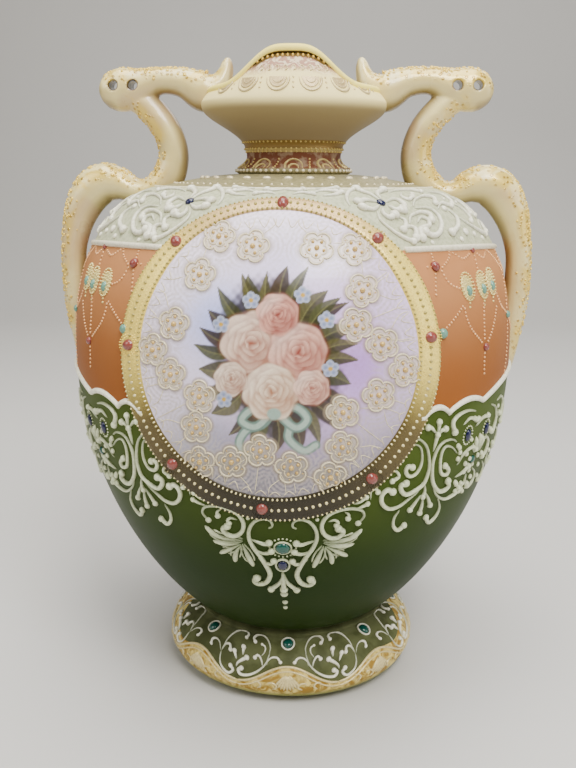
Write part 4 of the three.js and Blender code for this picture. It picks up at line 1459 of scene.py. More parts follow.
# Strokes of slip hung below the scalloped line
FESTOON_STROKES = (
    (1.6, 0.6, 19.4, -1.4, 21.4, -2.5, 22.4, -4.3, 22.9),
    (1.6, 0.9, 20, 1, 22, 0.8, 24.2),
    (1.6, 1.1, 19.2, 2.5, 20.6, 4.4, 21),
    (1.5, -0.2, 12.8, 0.2, 15.9, 0.7, 19.4),
    (1.8, -11, 18.5, -7.7, 18.9, -4.1, 16, -1.9, 11.3, -0.8, 5.8, -1.7, 0.6, -4.8, -1.7, -8.8, -3,
     -11.4, -1.1, -12.3, 1.3, -10.4, 2.1),
    (1.6, -9.9, 17.5, -6.6, 15.8, -5.1, 11.8, -5.1, 7.9, -6.9, 5, -9.6, 4.8, -11.4, 7.1,
     -10.8, 8.9, -8.9, 8.3),
    (1.8, 12.2, 14.2, 9.2, 15.9, 4.8, 15.9, 1.9, 13.7, 0.6, 9.4, 1.1, 4.7, 2.9, -0.4, 6.8, -4.8,
     10.1, -5.7, 12.4, -4.1, 11.2, -1.6),
    (1.6, 13.8, 9.2, 9.8, 12.6, 6.1, 13.7, 4.4, 11.6, 4.5, 7.4, 6.1, 3, 9.1, 1.5, 9.9, 3.6,
     7.4, 5.7),
    (1.5, 3, -1.1, 6.4, -6.4, 12, -10.1, 16.8, -10.1, 20.6, -8.8),
    (1.4, -1.2, -0.1, -0.3, -3.2, -0.7, -5.7),
    (1.5, -1.8, -4.8, -3.8, -7.9, -5.4, -10.4),
    (1.5, -0.7, -5.7, 0.1, -9.4, 0, -13.1),
    (1.5, -0.1, -3.8, 2.5, -7.2, 4.4, -10.6),
    (1.8, -2.4, 0.8, -4.1, -2.7, -7.6, -5.4, -11.1, -7.8, -15, -8.1, -18.3, -5.4, -19.4, -1.8,
     -17.8, 0.4, -15.3, -0.6),
    (1.4, -18, 7.5, -15.6, 7.8, -13.9, 5.4, -16.3, 3.9),
    (1.3, -23.3, -3, -24, 0.4, -22.6, 1.8, -21.3, 0.1),
    (1.3, -29.9, -3.9, -27.6, -3.4, -25.4, -1.5),
    (1.3, -29, -6.4, -26.4, -5.6, -24.4, -4.4),
    (1.6, -10.1, -9.6, -11.5, -12.7, -10.9, -16.5, -8.2, -19.3, -6, -17.4),
    (1.6, 8.2, -8.4, 11, -13.5, 10.5, -17.6, 7.3, -19.8, 4.4, -16.4),
    (1.8, 22.4, 24.4, 16.6, 25.7, 10.9, 25, 8, 22.7, 9.6, 18.8),
    (1.5, 14.6, 20.4, 18.4, 22.4, 23, 21),
    (1.5, 23.5, 18, 27.6, 20.4, 32.6, 20.6),
    (1.6, 15, 4, 18.4, 8.4, 23.6, 9.6, 26.4, 8.2),
    (1.6, 15.6, -1.4, 20, -0.4, 23.4, 1.6),
    (1.7, 30, 8.4, 34.6, 11, 38.4, 8.4, 38, 4, 34.4, 3),
    (1.6, 27.6, -0.4, 31.4, -3.4, 32, -7.6, 28.4, -9.4, 26, -7),
    (1.5, 24, -2, 23.4, -6, 20, -7),
    (1.7, 35, 24.4, 40.6, 22, 43.4, 16.6, 41.4, 11.6, 37.6, 13.4),
    (1.6, 41.4, 24.4, 47.4, 25, 52, 21.4, 51, 17, 47.4, 18),
    (1.6, 46, 12.4, 50.8, 10, 52.4, 5, 49, 2.4, 46.6, 5),
    (1.5, 38, -0.6, 42, -4, 42.6, -8.4, 39, -9.6),
    (1.5, 44, 2, 43, -1.4, 46.4, -4.4, 49, -2.4),
    (1.5, 56, 22, 59.6, 17.4, 58.4, 12, 54.6, 12.4),
)
FESTOON_DOTS = (
    (18, -5.1, 1.2), (23.1, -8.8, 1.2), (-20.6, 4.6, 1), (-26.6, 1.6, 0.9), (14.4, 11.4, 1.2),
    (16.6, -3.6, 1), (33.2, -0.6, 1.1), (30.2, 4.4, 1.2), (23.6, 4.6, 1.1), (26.8, 1.4, 1.1),
    (30, 12.4, 1), (22, 13, 1), (44.6, 21.6, 1), (55, 6, 1), (-13.6, 11.6, 0.9),
)
FESTOON_GRAPES = (
    (13.2, 12.5), (15.2, 9.4), (14.6, 6.9), (20, 7.6), (20.7, 3.3), (24.9, -0.7), (21.1, -0.4),
    (28.2, -4.6), (35.8, -6.4), (21.8, 21.6), (24.9, 21), (17.2, -4.2), (21, -5.4), (26.5, -8.6),
    (20.3, -7.3), (24.7, -10.3), (18.4, -8.3), (33.3, 4.6), (44, 2.6),
)
FESTOON_LEAF = (((27.6, 6.6), (26.2, 9.6), (25.6, 13.4)), ((28.2, 6.6), (28.6, 10.2), (28.4, 14.2)),
                ((28.9, 6.4), (31.0, 9.6), (32.0, 12.0)))
FESTOON_SAPPHIRES = ((18.8, 15.5), (33.6, 14.9))
FESTOON_EMERALD = (25.8, 3.9)

# Half of the pendant under the medallion
PENDANT_STROKES = (
    (2, 5.1, 11.3, 3.6, 12.5, 4.2, 14.8, 6.6, 15.7, 9.6, 14.4, 11.8, 10.8, 12.2, 6.3, 10.7, 1.7,
     8.4, -2.6, 5.7, -9.2, 5, -13.2, 6.5, -17.5, 9.2, -18.7, 11, -17.2, 10, -15.2),
    (1.7, 11.6, 5.6, 9.1, 4.6, 6.6, 3.7, 4.9, 4.5),
    (1.7, 10.7, 0.9, 7.8, -0.9, 5.4, -0.8, 4.1, 0.3),
    (1.6, 9.2, -4.1, 6.5, -6.1, 4.4, -6.5, 3.4, -4.7),
    (1.8, 0, -12, 1.4, -17.5, 4.8, -21.8),
    (1.8, 27, 12.2, 28.6, 13.9, 29.5, 15.9, 28.2, 18.3, 23.9, 19.5, 19.4, 18.9, 15.8, 16.8,
     14, 13.1, 14.6, 9.1, 17.2, 6.6, 20.1, 6.9, 21.8, 9.3, 20, 10.9),
    (1.4, 16.2, 14.1, 18.3, 14.9, 19.8, 13.8, 19.3, 12.4),
    (1.4, 22.1, 18.3, 23.6, 16.9, 23.4, 15.2),
)
PENDANT_FRONDS = (
    (1.6, 14.5, 4.7, 17.9, 4.9, 23.1, 5.2, 26.2, 6.8, 29, 9.4),
    (1.6, 15.7, 3.1, 20, 2.2, 26.2, 2.6),
    (1.6, 15.7, 2.5, 19.6, -0.4, 24, -3.6),
    (1.6, 15.5, 2, 17.5, -2.3, 18, -7.4),
    (1.6, 14.8, 2.8, 13, -2.7, 10.9, -8.7),
)
BELL_STROKE = ((-0.3, -10.8), (-0.2, -15.3), (0.0, -21.6))
PENDANT_DROPS = ((0.0, -25.0, 1.6), (0.2, -31.1, 1.2), (0.2, -35.5, 1.0))
PENDANT_DOTS = ((12.3, 15.4, 0.8), (27.3, 12.5, 1.3))
PENDANT_EMERALD = (0.0, 2.0)
PENDANT_SAPPHIRE = (-0.2, -7.1)

# Strokes of slip on the foot, at both sides of every other jewel
FOOT_STROKES = (
    (0.9, -28.4, -5.6, -27.2, -3.1, -24.9, 0, -22, 2.7, -18.7, 3.7, -17, 2.4, -17.9, 0.3),
    (1.1, -29.5, -7.9, -27.6, -4.9, -25.4, -4.4, -24.9, -6.4),
    (1.1, -29.5, -7.9, -29.9, -10.9, -29.3, -13.2, -27.5, -14.8, -25.2, -15.5, -23.2, -13.9,
     -24.4, -12.4),
    (1, -7.6, -5, -7.3, -2, -8.8, 1.6, -10.9, 3.2, -13.2, 2.7, -14.5, 0.8, -13.8, -0.7),
    (1.2, -7.3, -4.4, -8.8, -8.8, -11.2, -11.5, -13.9, -13.4, -16.8, -14.6, -19.7, -14.8,
     -20.8, -13.2, -19.4, -12.4),
    (1, -10.4, -10.3, -10.5, -8.9, -11.3, -7, -12.5, -6.1, -13.6, -7.3),
    (1.3, -21.8, -12.3, -21.3, -10.8, -19.6, -9.4, -17.1, -7.9),
    (1.2, -21.8, -9.4, -22.3, -8, -22.9, -6.4),
    (1.3, -19, -7.2, -18.9, -5.6, -18.8, -4),
    (0.9, -8.5, -9.7, -8.3, -8.1, -6.5, -6.5, -4.3, -6.4, -2.9, -8.1),
    (0.9, -29.9, -8.1, -30.8, -5.2, -32.8, -4.2, -35, -5.1, -35.3, -6.9),
    (0.7, -11.2, -6.6, -9.6, -4.6, -9.4, -2.4, -10.8, -1.4),
)


def shoulder_slip(form, colours):
    """Scrolls, flowers and dots of slip between the white ring and the collar."""
    piece = Piece()
    tint = tuple(colours.slip)
    for side, back in QUARTERS:
        onto = form.chart(*SHOULDER, side, back)
        for width, stroke in strokes(SHOULDER_STROKES):
            scroll(piece, onto, stroke, 1.1 * width, tint, thin=SHEER_ON_CELADON)
        dots(piece, onto, SHOULDER_DOTS, tint)
    band(piece, form, full_turn(200), 207.7, 1.1, 0.55, blend(tint, paint("D9C98A"), 0.3))
    return piece.build("slip_shoulder", slip_finish())


def line_slip(form, colours):
    """The white ring under the shoulder and the scalloped line above the green ground."""
    piece = Piece()
    tint = tuple(colours.slip)
    for side, back in QUARTERS:
        turn = math.pi if back else 0.0
        angle = np.radians(np.linspace(31.0, 87.0, 60))
        band(piece, form, side * angle + turn, ring_height(angle), 2.4, 1.2, paint("E9E3CB"),
             closed=False)
        angle = np.radians(np.linspace(32.5, 87.0, 110))
        band(piece, form, side * angle + turn, scallop_height(angle), 2.3, 1.2, tint, closed=False)
    return piece.build("slip_lines", slip_finish())


def festoon_slip(form, colours):
    """Scrolls of slip that hang below the scalloped line at both sides."""
    piece = Piece()
    tint = tuple(colours.sheer)
    for side, back in QUARTERS:
        onto = form.chart(*FESTOON, side, back)
        for width, stroke in strokes(FESTOON_STROKES):
            scroll(piece, onto, stroke, 0.95 * width, tint, thin=SHEER_ON_GREEN)
        for path in FESTOON_LEAF:
            frond(piece, onto, path, 1.6, tint, SHEER_ON_GREEN)
        dots(piece, onto, FESTOON_DOTS, tint)
        piece.domes(onto, FESTOON_GRAPES, 1.15, 0.95, tint, edge=0.5)
        for x, up in FESTOON_SAPPHIRES:
            piece.domes(onto, oval(x, up, 2.9, 3.7, 18), 0.38, 0.4, tint, sides=5)
    return piece.build("slip_festoons", slip_finish())


def oval(x, up, wide, tall, count=26):
    """Points round an oval."""
    turn = full_turn(count)
    return np.stack([x + wide * np.cos(turn), up + tall * np.sin(turn)], -1)


def pendant_slip(form, colours):
    """The symmetrical scroll pendant under each medallion with its bell and drops."""
    piece = Piece()
    tint = blend(colours.sheer, SHEER_ON_GREEN, 0.25)
    for side, back in QUARTERS:
        onto = form.chart(PENDANT[0] * side, PENDANT[1], side, back)
        for width, stroke in strokes(PENDANT_STROKES):
            scroll(piece, onto, stroke, 0.95 * width, tint, thin=SHEER_ON_GREEN)
        for width, stroke in strokes(PENDANT_FRONDS):
            frond(piece, onto, stroke, width, tint, SHEER_ON_GREEN)
        dots(piece, onto, PENDANT_DOTS, tint)
    for back in (False, True):
        onto = form.chart(*PENDANT, 1, back)
        scroll(piece, onto, BELL_STROKE, 1.9, tint, thin=SHEER_ON_GREEN)
        dots(piece, onto, PENDANT_DROPS, tint, 0.8)
        piece.ridge(onto, oval(*PENDANT_EMERALD, 3.1, 2.9), 0.7, 0.6, tint, closed=True)
        piece.domes(onto, oval(*PENDANT_EMERALD, 4.8, 4.5, 20), 0.4, 0.45, tint, sides=6)
        piece.ridge(onto, oval(*PENDANT_SAPPHIRE, 2.5, 3.2), 0.9, 0.7, tint, closed=True)
    return piece.build("slip_pendants", slip_finish())


def foot_slip(form, colours):
    """Scrolls of slip and white jewel rings round the foot."""
    piece = Piece()
    tint = tuple(colours.slip)
    for k in range(FOOT_JEWELS):
        onto = foot_chart(form, k)
        if k % 2 == 0:
            for side in (1, -1):
                for width, stroke in strokes(FOOT_STROKES):
                    scroll(piece, onto, stroke * (side, 1), width, tint, thin=SHEER_ON_GREEN)
        piece.ridge(onto, oval(0, 0, 2.6, 2.8), 0.8, 0.6, tint, closed=True, edge=0.6)
    return piece.build("slip_foot", slip_finish())


# Florets on the painting: x and up from the medallion's middle, in millimetres
FLORETS = (
    (-20.1, 40.7), (-8.2, 37.2), (-26, 27.6), (-34.8, 11), (-43, 2.1), (-36.2, -6.2),
    (-25.7, -13.4), (-27.1, -24.1), (-26.4, -36.6), (-14.9, -35.9), (-4.7, -31.4), (5.8, -37.2),
    (19.1, -40.6), (22.9, -29.7), (22.9, -17.6), (34.8, -11.7), (43.6, -3.1), (35.5, 5.5),
    (26.7, 11.7), (28.5, 23.1), (25.7, 36.9), (13.1, 36.9),
)
FLORET_SIZE = 5.6
FLORET_TURN = 1.3


def petal_reach(angle):
    """Outline of five round petals: 0.72 + 0.28 |cos(2.5 angle)|^0.6 of the floret's size."""
    return 0.72 + 0.28 * np.abs(np.cos(PETALS / 2 * angle)) ** 0.6


def floret_outline(x, up, size, turn, count=50):
    """A closed outline of five round petals."""
    a = full_turn(count)
    reach = size * petal_reach(a)
    return np.stack([x + reach * np.cos(a + turn), up + reach * np.sin(a + turn)], -1)


def lace(form, back=False):
    """Raised cream lines on the painting: florets, and fine lines that join them to the rim."""
    piece = Piece()
    cream = paint("DCCFAE")
    inner = form.medallion - form.rim_width
    onto = form.medallion_chart(back, 0.1)
    for j, (x, up) in enumerate(FLORETS):
        turn = FLORET_TURN * j
        for size, width, rise in ((FLORET_SIZE, 0.7, 0.5), (3.5, 0.5, 0.35)):
            outline = floret_outline(x, up, size, turn)
            piece.ridge(onto, outline, width, rise, cream, sides=4, closed=True)
        if back:
            continue
        out = math.atan2(up, x)
        reach = math.hypot(x, up)
        for k in range(3):
            away = out + math.radians(52 * (k - 1))
            direction = np.array([math.cos(away), math.sin(away)])
            start = (x, up) + FLORET_SIZE * direction
            rim = (inner - 1.2) * unit(start + 6 * direction)
            if np.linalg.norm(rim - start) > 3 and reach < inner - 6:
                bend = (start + rim) / 2 + 1.6 * (k - 1) * np.array([-math.sin(out), math.cos(out)])
                piece.ridge(onto, smooth([start, bend, rim], 9), 0.4, 0.22, cream, sides=4)
    for a in full_turn(60):
        tip = inner - 3.4 - 1.2 * math.sin(5 * a)
        arc = [(reach * math.cos(a + off), reach * math.sin(a + off))
               for reach, off in ((inner - 0.6, -0.045), (tip, 0), (inner - 0.6, 0.045))]
        piece.ridge(onto, smooth(arc, 7), 0.4, 0.25, cream, sides=4)
    return piece.build("lace_back" if back else "lace_front", slip_finish())


def lace_beads(form, back=False):
    """Gold beads at the heart of each floret and on its petals."""
    piece = Piece()
    gold = paint("CFAE68")
    onto = form.medallion_chart(back, 0.1)
    for j, (x, up) in enumerate(FLORETS):
        turn = FLORET_TURN * j
        piece.domes(onto, [(x, up)], 0.95, 1.1, gold)
        piece.domes(onto, floret_outline(x, up, 2.5, turn, PETALS), 0.62, 0.75, gold, sides=6)
        piece.domes(onto, floret_outline(x, up, 4.3, turn + 0.3, PETALS), 0.3, 0.35, gold, sides=5)
    return piece.build("lace_beads_back" if back else "lace_beads_front", gold_finish())


# Rows of beads on the terracotta band, as degrees from the front and height
SWAGS = (
    ((38.8, 186.0), (38.8, 183.8)), ((36.4, 181.9), (37.8, 181.9)), ((39.9, 181.7), (41.2, 181.4)),
    ((38.4, 179.4), (37.8, 176.0), (37.4, 172.6)),
    ((45.4, 186.4), (44.4, 184.2), (42.2, 182.2)),
    ((40.7, 180.2), (41.7, 177.0), (43.4, 175.0), (45.5, 173.9)),
    ((38.9, 160.4), (42.5, 164.1), (45.7, 167.6)),
    ((46.3, 166.8), (46.6, 163.8), (48.3, 159.2), (52.4, 153.7)),
    ((61.9, 164.9), (58.8, 158.4), (55.6, 153.4)),
    ((54.7, 167.2), (54.0, 161.0), (53.8, 154.8)),
    ((53.8, 149.4), (53.7, 146.0), (53.9, 141.8)),
    ((46.6, 185.8), (50.2, 183.6), (53.6, 184.9)), ((58.0, 184.6), (61.0, 182.9), (64.6, 185.2)),
    ((56.0, 184.0), (55.6, 181.0), (55.1, 178.4)),
    ((66.0, 185.0), (70.8, 181.0), (75.4, 176.6)),
    ((76.6, 184.0), (75.8, 175.6), (71.9, 162.5)), ((71.2, 157.5), (70.2, 147.0), (68.4, 137.0)),
    ((62.8, 170.6), (66.0, 164.4), (70.4, 161.0)),
    ((77.6, 181.0), (81.0, 177.0), (85.0, 174.0)), ((73.6, 158.6), (78.6, 153.4), (84.6, 150.6)),
)
CLOVERS = ((48.8, 172.6), (55.5, 172.4), (60.9, 172.8))


def swag_gilding(form):
    """Bead swags and gilt clover clusters on the terracotta band."""
    piece = Piece()
    pale = paint("E9B27C")
    gold = paint("EAD88C")
    for side, back in QUARTERS:
        onto = form.chart(*SWAG, side, back)
        for row in SWAGS:
            bead_row(piece, onto, on_swag_sheet(form, row), 1.45, 0.5, 0.45, pale)
        for x, up in on_swag_sheet(form, CLOVERS):
            piece.domes(onto, [(x, up + 1.4)], 3.6, 0.42, gold, sides=14, tall=1.3)
            for reach, count in ((3.9, 24), (2.9, 18), (1.9, 11), (1.0, 5)):
                ring = oval(x, up + 1.6, reach, 1.3 * reach, count)
                piece.domes(onto, ring, 0.4, 0.72, gold, sides=5)
            piece.domes(onto, [(x - 0.4, up - 4.4), (x - 0.8, up - 5.8)], 0.5, 0.5, gold, sides=6)
    return piece.build("gilt_swags", gold_finish())


NECK_ARCHES = 10


def neck_gilding(form):
    """Beads on the collar, at the neck's base, on its arches and on its gilt ring."""
    piece = Piece()
    cream = paint("EFE3C0")
    gold = paint("DFC777")
    ring_of_beads(piece, form, 214.1, 60, 0.66, 0.7, cream)
    ring_of_beads(piece, form, 211.2, 29, 1.7, 0.9, cream, tall=0.62, sides=10)
    ring_of_beads(piece, form, 209.1, 84, 0.5, 0.45, cream, start=0.04, sides=6)
    for height, count in ((222.6, 64), (221.5, 60), (225.2, 70)):
        ring_of_beads(piece, form, height, count, 0.45, 0.45, gold, sides=6)
    arch = [(3.4 * math.cos(a), 2.4 + 3.2 * math.sin(a)) for a in np.linspace(0, math.pi, 9)]
    arch = np.array([(3.4, 0.2)] + arch + [(-3.4, 0.2)])
    for k in range(NECK_ARCHES):
        onto = form.chart(360 / NECK_ARCHES * k + 3, 214.9)
        for share in (1.0, 0.55):
            scroll(piece, onto, share * arch, 0.9, paint("DCC47E"), ball=False)
        bead_row(piece, onto, [(6.3, 0.4), (6.3, 2.8), (6.3, 5.6)], 1.2, 0.4, 0.4, gold)
    return piece.build("gilt_neck", gold_finish())


def lip_chart(form, angle):
    """A flat sheet laid on the bowl above its crease: across and up from one angle.

    Radius = bowl - (bowl - throat) * share^1.3, where share is up over the height of the lip.
    """
    height = form.crease_height
    curve = form.lip_curve

    def onto(across, up, lift=0.0):
        turn = math.radians(angle) + np.asarray(across) / form.bowl
        top, throat = form.lip(turn)
        tall = (top - height) * form.lip_outer_share
        share = np.clip(up / tall, 0.001, 1.2)
        slope = (form.bowl - throat) * curve * share ** (curve - 1) / tall
        out = lift / np.sqrt(1 + slope ** 2)
        r = form.bowl - (form.bowl - throat) * share ** curve + out
        z = height + tall * share + slope * out
        return np.stack([r * np.sin(turn), -r * np.cos(turn), z], -1)

    return onto


# The bowl's pendent arcs: where they hang, in degrees, the height they hang from and, for each
# arc, half its width, its low end and the width of its stroke
BOWL_ARC_ANGLES = (-47, -27, -7, 13, 33, 53, 133, 153, 173, 193, 213, 233)
BOWL_ARC_TOP = 7.2
BOWL_ARCS = ((4.6, 2.2, 0.9), (3.3, 3.6, 0.7), (2.1, 5.0, 0.7))


def bowl_gilding(form):
    """Raised arcs round the bowl over a tan fan, and beads and curls under the lip flaps."""
    piece = Piece()
    cream = paint("DCC894")
    tan = paint("CDB582")
    fan = np.linspace(0.05, 1, 5)[:, None]
    turn = np.linspace(-math.pi, 0, 13)
    lift = np.full((len(fan), len(turn)), 0.12)
    for degrees in BOWL_ARC_ANGLES:
        onto = lip_chart(form, degrees)
        leaf_points = onto(3.6 * fan * np.cos(turn), BOWL_ARC_TOP + 4.0 * fan * np.sin(turn), lift)
        piece.grid(leaf_points, tan)
        for wide, low, width in BOWL_ARCS:
            arc = [(wide * math.cos(a), BOWL_ARC_TOP + (BOWL_ARC_TOP - low) * math.sin(a))
                   for a in np.linspace(-math.pi, 0, 9)]
            scroll(piece, onto, arc, width, cream, ball=False)
        piece.domes(onto, [(6.2, 7.0), (6.2, 5.2), (6.2, 3.4)], 0.45, 0.4, cream, sides=6)
    for turn in (0, 180):
        onto = lip_chart(form, turn)
        beads = np.linspace(-21, 21, 18)
        spots = np.stack([beads, 15.6 * form.flap(beads / form.bowl) ** 0.5 - 0.4], -1)
        piece.domes(onto, spots, 0.72, 0.75, paint("CFA94C"))
        for k in range(-4, 5):
            curl = [(3.6 * k, 9.6), (3.6 * k + 1.5, 11.6), (3.6 * k + 2.6, 10.2), (3.6 * k + 1.5, 9.4)]
            scroll(piece, onto, curl, 0.6, cream, ball=False)
    return piece.build("gilt_bowl", gold_finish())


def limb_chart(stations, side):
    """A flat sheet wrapped on a limb: across round its section and up along its length.

    The turn round the section is across over the mean of its two half sizes.
    """
    centre, away, half = limb_frame(stations, 300)
    reach = lengths_along(centre)

    def onto(across, up, lift=0.0):
        rows = [np.interp(up, reach, column) for column in (*centre.T, *away.T, *half.T)]
        cx, cz, ox, oz, a, b = rows
        turn = across * 2 / (a + b)
        out = (a + lift) * np.cos(turn)
        return np.stack([side * (cx + ox * out), side * (b + lift) * np.sin(turn), cz + oz * out], -1)

    return onto, reach[-1]


# Beads strewn on each limb: how many, and the shares of its length where they start and end
BEAD_SCATTER = ((ARM, 260, 0.12, 0.97), (STRUT, 820, 0.04, 0.86))


def handle_gilding():
    """A scatter of gold beads, in clumps, along the outer side of the handles."""
    piece = Piece()
    gold = paint("EFCF62")
    random = np.random.default_rng(SEED)
    for side in (1, -1):
        for stations, count, first, last in BEAD_SCATTER:
            onto, length_mm = limb_chart(stations, side)
            up = length_mm * random.uniform(first, last, count)
            clump = 0.5 + 0.5 * np.sin(up / 4.3 + 1.7 * np.sin(up / 9.1))
            keep = random.uniform(0, 1, count) < 0.35 + 0.65 * clump
            up = up[keep]
            across = random.normal(0, 3.4, count)[keep]
            size = random.uniform(0.34, 0.72, count)[keep]
            spots = np.stack([across, up], -1)
            piece.domes(onto, spots, size, 0.55 * size + 0.1, gold, sides=5, sink=0.5)
    return piece.build("gilt_handles", gold_finish())


# Widths and rises along a rib of the foot's shells
RIB_WIDTHS = (0.6, 1.3, 1.5, 1.0)
RIB_RISES = (0.3, 0.6, 0.7, 0.4)


def foot_gilding(form):
    """A double wavy gilt edge, and a ribbed shell with curls below each jewel of the foot."""
    piece = Piece()
    gold = paint("E6D59C")
    across = np.linspace(-21.5, 21.5, 40)
    for k in range(FOOT_JEWELS):
        onto = foot_chart(form, k)
        for rise, width in ((-13.6, 1.1), (-15.5, 0.8)):
            wave = rise + GILT_WAVE * np.cos(FOOT_JEWELS * across / 54.0)
            piece.ridge(onto, np.stack([across, wave], -1), width, 0.5 * width, gold, sides=5, edge=0.6)
        for j in range(-4, 5):
            lean = 0.19 * j
            rib = [(r * math.sin(lean), -12.4 - r * math.cos(lean)) for r in (1.0, 3.0, 5.2, 7.4)]
            piece.ridge(onto, smooth(rib, 8), RIB_WIDTHS, RIB_RISES, gold, sides=5, edge=0.5)
        for side in (-1, 1):
            for shift, reach in ((7.5, 4.4), (13.5, 3.6)):
                curl = [(side * (shift + q * reach * math.cos(4.4 * q)),
                         2.2 * q * math.sin(4.4 * q) - 17.4) for q in (0.15, 0.35, 0.55, 0.8, 1.0)]
                scroll(piece, onto, curl, 0.9, gold, ball=False)
    return piece.build("gilt_foot", gold_finish())


# Jewels on the terracotta band: degrees from the front, height and size
SWAG_RUBIES = ((38.8, 181.9, 1.9), (56.0, 186.0, 1.2), (54.2, 151.6, 1.5))
SWAG_JADES = ((38.3, 159.4, 1.9), (71.5, 160.0, 1.5))


def jewels(form, colours):
    """Enamel jewels: rubies on the rims and swags, emeralds and sapphires in the slip."""
    piece = Piece()
    ruby = tuple(colours.ruby)
    emerald = tuple(colours.emerald)
    sapphire = tuple(colours.sapphire)
    jade = blend(emerald, paint("8FC4AC"), 0.45)
    turn = np.radians(RIM_JEWELS)
    middle = form.medallion - form.rim_width / 2
    rim_spots = middle * np.stack([np.cos(turn), np.sin(turn)], -1)
    for side, back in QUARTERS:
        onto = form.chart(*SWAG, side, back)
        for tint, rows in ((ruby, SWAG_RUBIES), (jade, SWAG_JADES)):
            for degrees, height, size in rows:
                spot = on_swag_sheet(form, [(degrees, height)])
                piece.domes(onto, spot, size, 0.9 * size, tint, sides=12)
        piece.domes(onto, on_swag_sheet(form, CLOVERS), 1.4, 1.5, jade, sides=10, tall=1.5)
        onto = form.chart(*FESTOON, side, back)
        piece.domes(onto, FESTOON_SAPPHIRES, 1.6, 1.1, sapphire, sides=10, tall=1.6)
        piece.domes(onto, FESTOON_EMERALD, 1.7, 1.1, emerald, sides=10)
        onto = form.chart(*SHOULDER, side, back)
        piece.domes(onto, SHOULDER_SAPPHIRE, 1.7, 1.2, sapphire, sides=12)
    for back in (False, True):
        piece.domes(form.medallion_chart(back), rim_spots, 2.2, 2.5, ruby, sides=14)
        onto = form.chart(*PENDANT, 1, back)
        piece.domes(onto, PENDANT_EMERALD, 2.7, 1.8, emerald, sides=14)
        piece.domes(onto, PENDANT_SAPPHIRE, 1.9, 1.4, sapphire, sides=12, tall=1.3)
    for k in range(FOOT_JEWELS):
        piece.domes(foot_chart(form, k), (0, 0), 2.2, 1.3, emerald, sides=14, tall=1.08)
    return piece.build("jewels", enamel_finish())


def outward(piece):
    """Turns a piece's faces outwards, part by part."""
    graph = bmesh.new()
    graph.from_mesh(piece.data)
    bmesh.ops.recalc_face_normals(graph, faces=graph.faces)
    graph.to_mesh(piece.data)
    graph.free()


# Soft lights: name, place, width and height, power and tint; all look at one point
WARM = (1.0, 0.98, 0.95)
WHITE = (1.0, 1.0, 1.0)
LIGHT_AIM = (0.0, 0.0, 0.14)
LIGHTS = (
    ("key", (0.35, -0.75, 1.05), (0.5, 0.5), 18.0, WARM),
    ("fill", (-0.85, -0.55, 0.75), (0.7, 0.7), 6.0, WARM),
    ("side", (0.95, -0.35, 0.35), (0.6, 0.6), 3.0, WHITE),
    ("back", (0.3, 0.9, 0.9), (0.9, 0.6), 4.0, WHITE),
    ("top", (0.0, -0.1, 1.2), (0.8, 0.8), 18.0, (1.0, 0.98, 0.94)),
)


def soft_light(name, place, size, power, tint):
    """A soft area light that looks at the vase."""
    light = bpy.data.lights.new(name, "AREA")
    light.shape = "RECTANGLE"
    light.size = size[0]
    light.size_y = size[1]
    light.energy = power
    light.color = tint
    lamp = bpy.data.objects.new(name, light)
    lamp.location = place
    away = Vector(place) - Vector(LIGHT_AIM)
    lamp.rotation_euler = away.to_track_quat("Z", "Y").to_euler()
    bpy.context.scene.collection.objects.link(lamp)


# The camera that took the photograph, as fitted to the outline: metres, turns and lens
CAMERA_DISTANCE = 0.373
CAMERA_HEIGHT = 0.2129
CAMERA_SIDE = -0.0019
CAMERA_AZIMUTH = math.radians(3.3)
CAMERA_PITCH = math.radians(76.52)
CAMERA_ROLL = math.radians(0.29)
CAMERA_LENS = 41.1


def photo_camera():
    """The camera at the photograph's viewing angle."""
    data = bpy.data.cameras.new("photo camera")
    data.lens = CAMERA_LENS
    data.sensor_width = 36.0
    data.clip_start = 0.01
    camera = bpy.data.objects.new("photo camera", data)
    turn = Matrix.Rotation(CAMERA_AZIMUTH, 4, "Z")
    place = Matrix.Translation((CAMERA_SIDE, -CAMERA_DISTANCE, CAMERA_HEIGHT))
    pitch = Matrix.Rotation(CAMERA_PITCH, 4, "X")
    roll = Matrix.Rotation(CAMERA_ROLL, 4, "Z")
    camera.matrix_world = turn @ place @ pitch @ roll
    bpy.context.scene.collection.objects.link(camera)
    bpy.context.scene.camera = camera


# The floor: half width, front edge, where it starts to sweep up, radius of the sweep and height
FLOOR = (2.2, -1.6, 0.9, 0.5, 2.2)


def plain_stage():
    """A pale floor that sweeps up behind the vase, soft lights and the camera."""
    half, edge, bend, radius, height = FLOOR
    profile = [(edge, 0.0), (bend, 0.0)]
    profile += [(bend + radius * math.sin(a), radius - radius * math.cos(a))
                for a in np.linspace(0, math.pi / 2, 12)[1:]]
    profile += [(bend + radius, height)]
    points = [(x, y, z) for y, z in profile for x in (-half, half)]
    faces = [(i, i + 1, i + 3, i + 2) for i in range(0, len(points) - 2, 2)]
    mesh = bpy.data.meshes.new("floor")
    mesh.from_pydata(points, [], faces)
    mesh.polygons.foreach_set("use_smooth", np.ones(len(mesh.polygons), bool))
    shader = Shader("pale floor")
    mesh.materials.append(shader.finish(Base_Color=paint("C9C7C3"), Roughness=0.6))
    floor = bpy.data.objects.new("floor", mesh)
    bpy.context.scene.collection.objects.link(floor)
    for light in LIGHTS:
        soft_light(*light)
    world = bpy.data.worlds.new("studio")
    world.use_nodes = True
    world.node_tree.nodes["Background"].inputs["Color"].default_value = (0.85, 0.84, 0.82, 1.0)
    world.node_tree.nodes["Background"].inputs["Strength"].default_value = 0.12
    bpy.context.scene.world = world
    photo_camera()


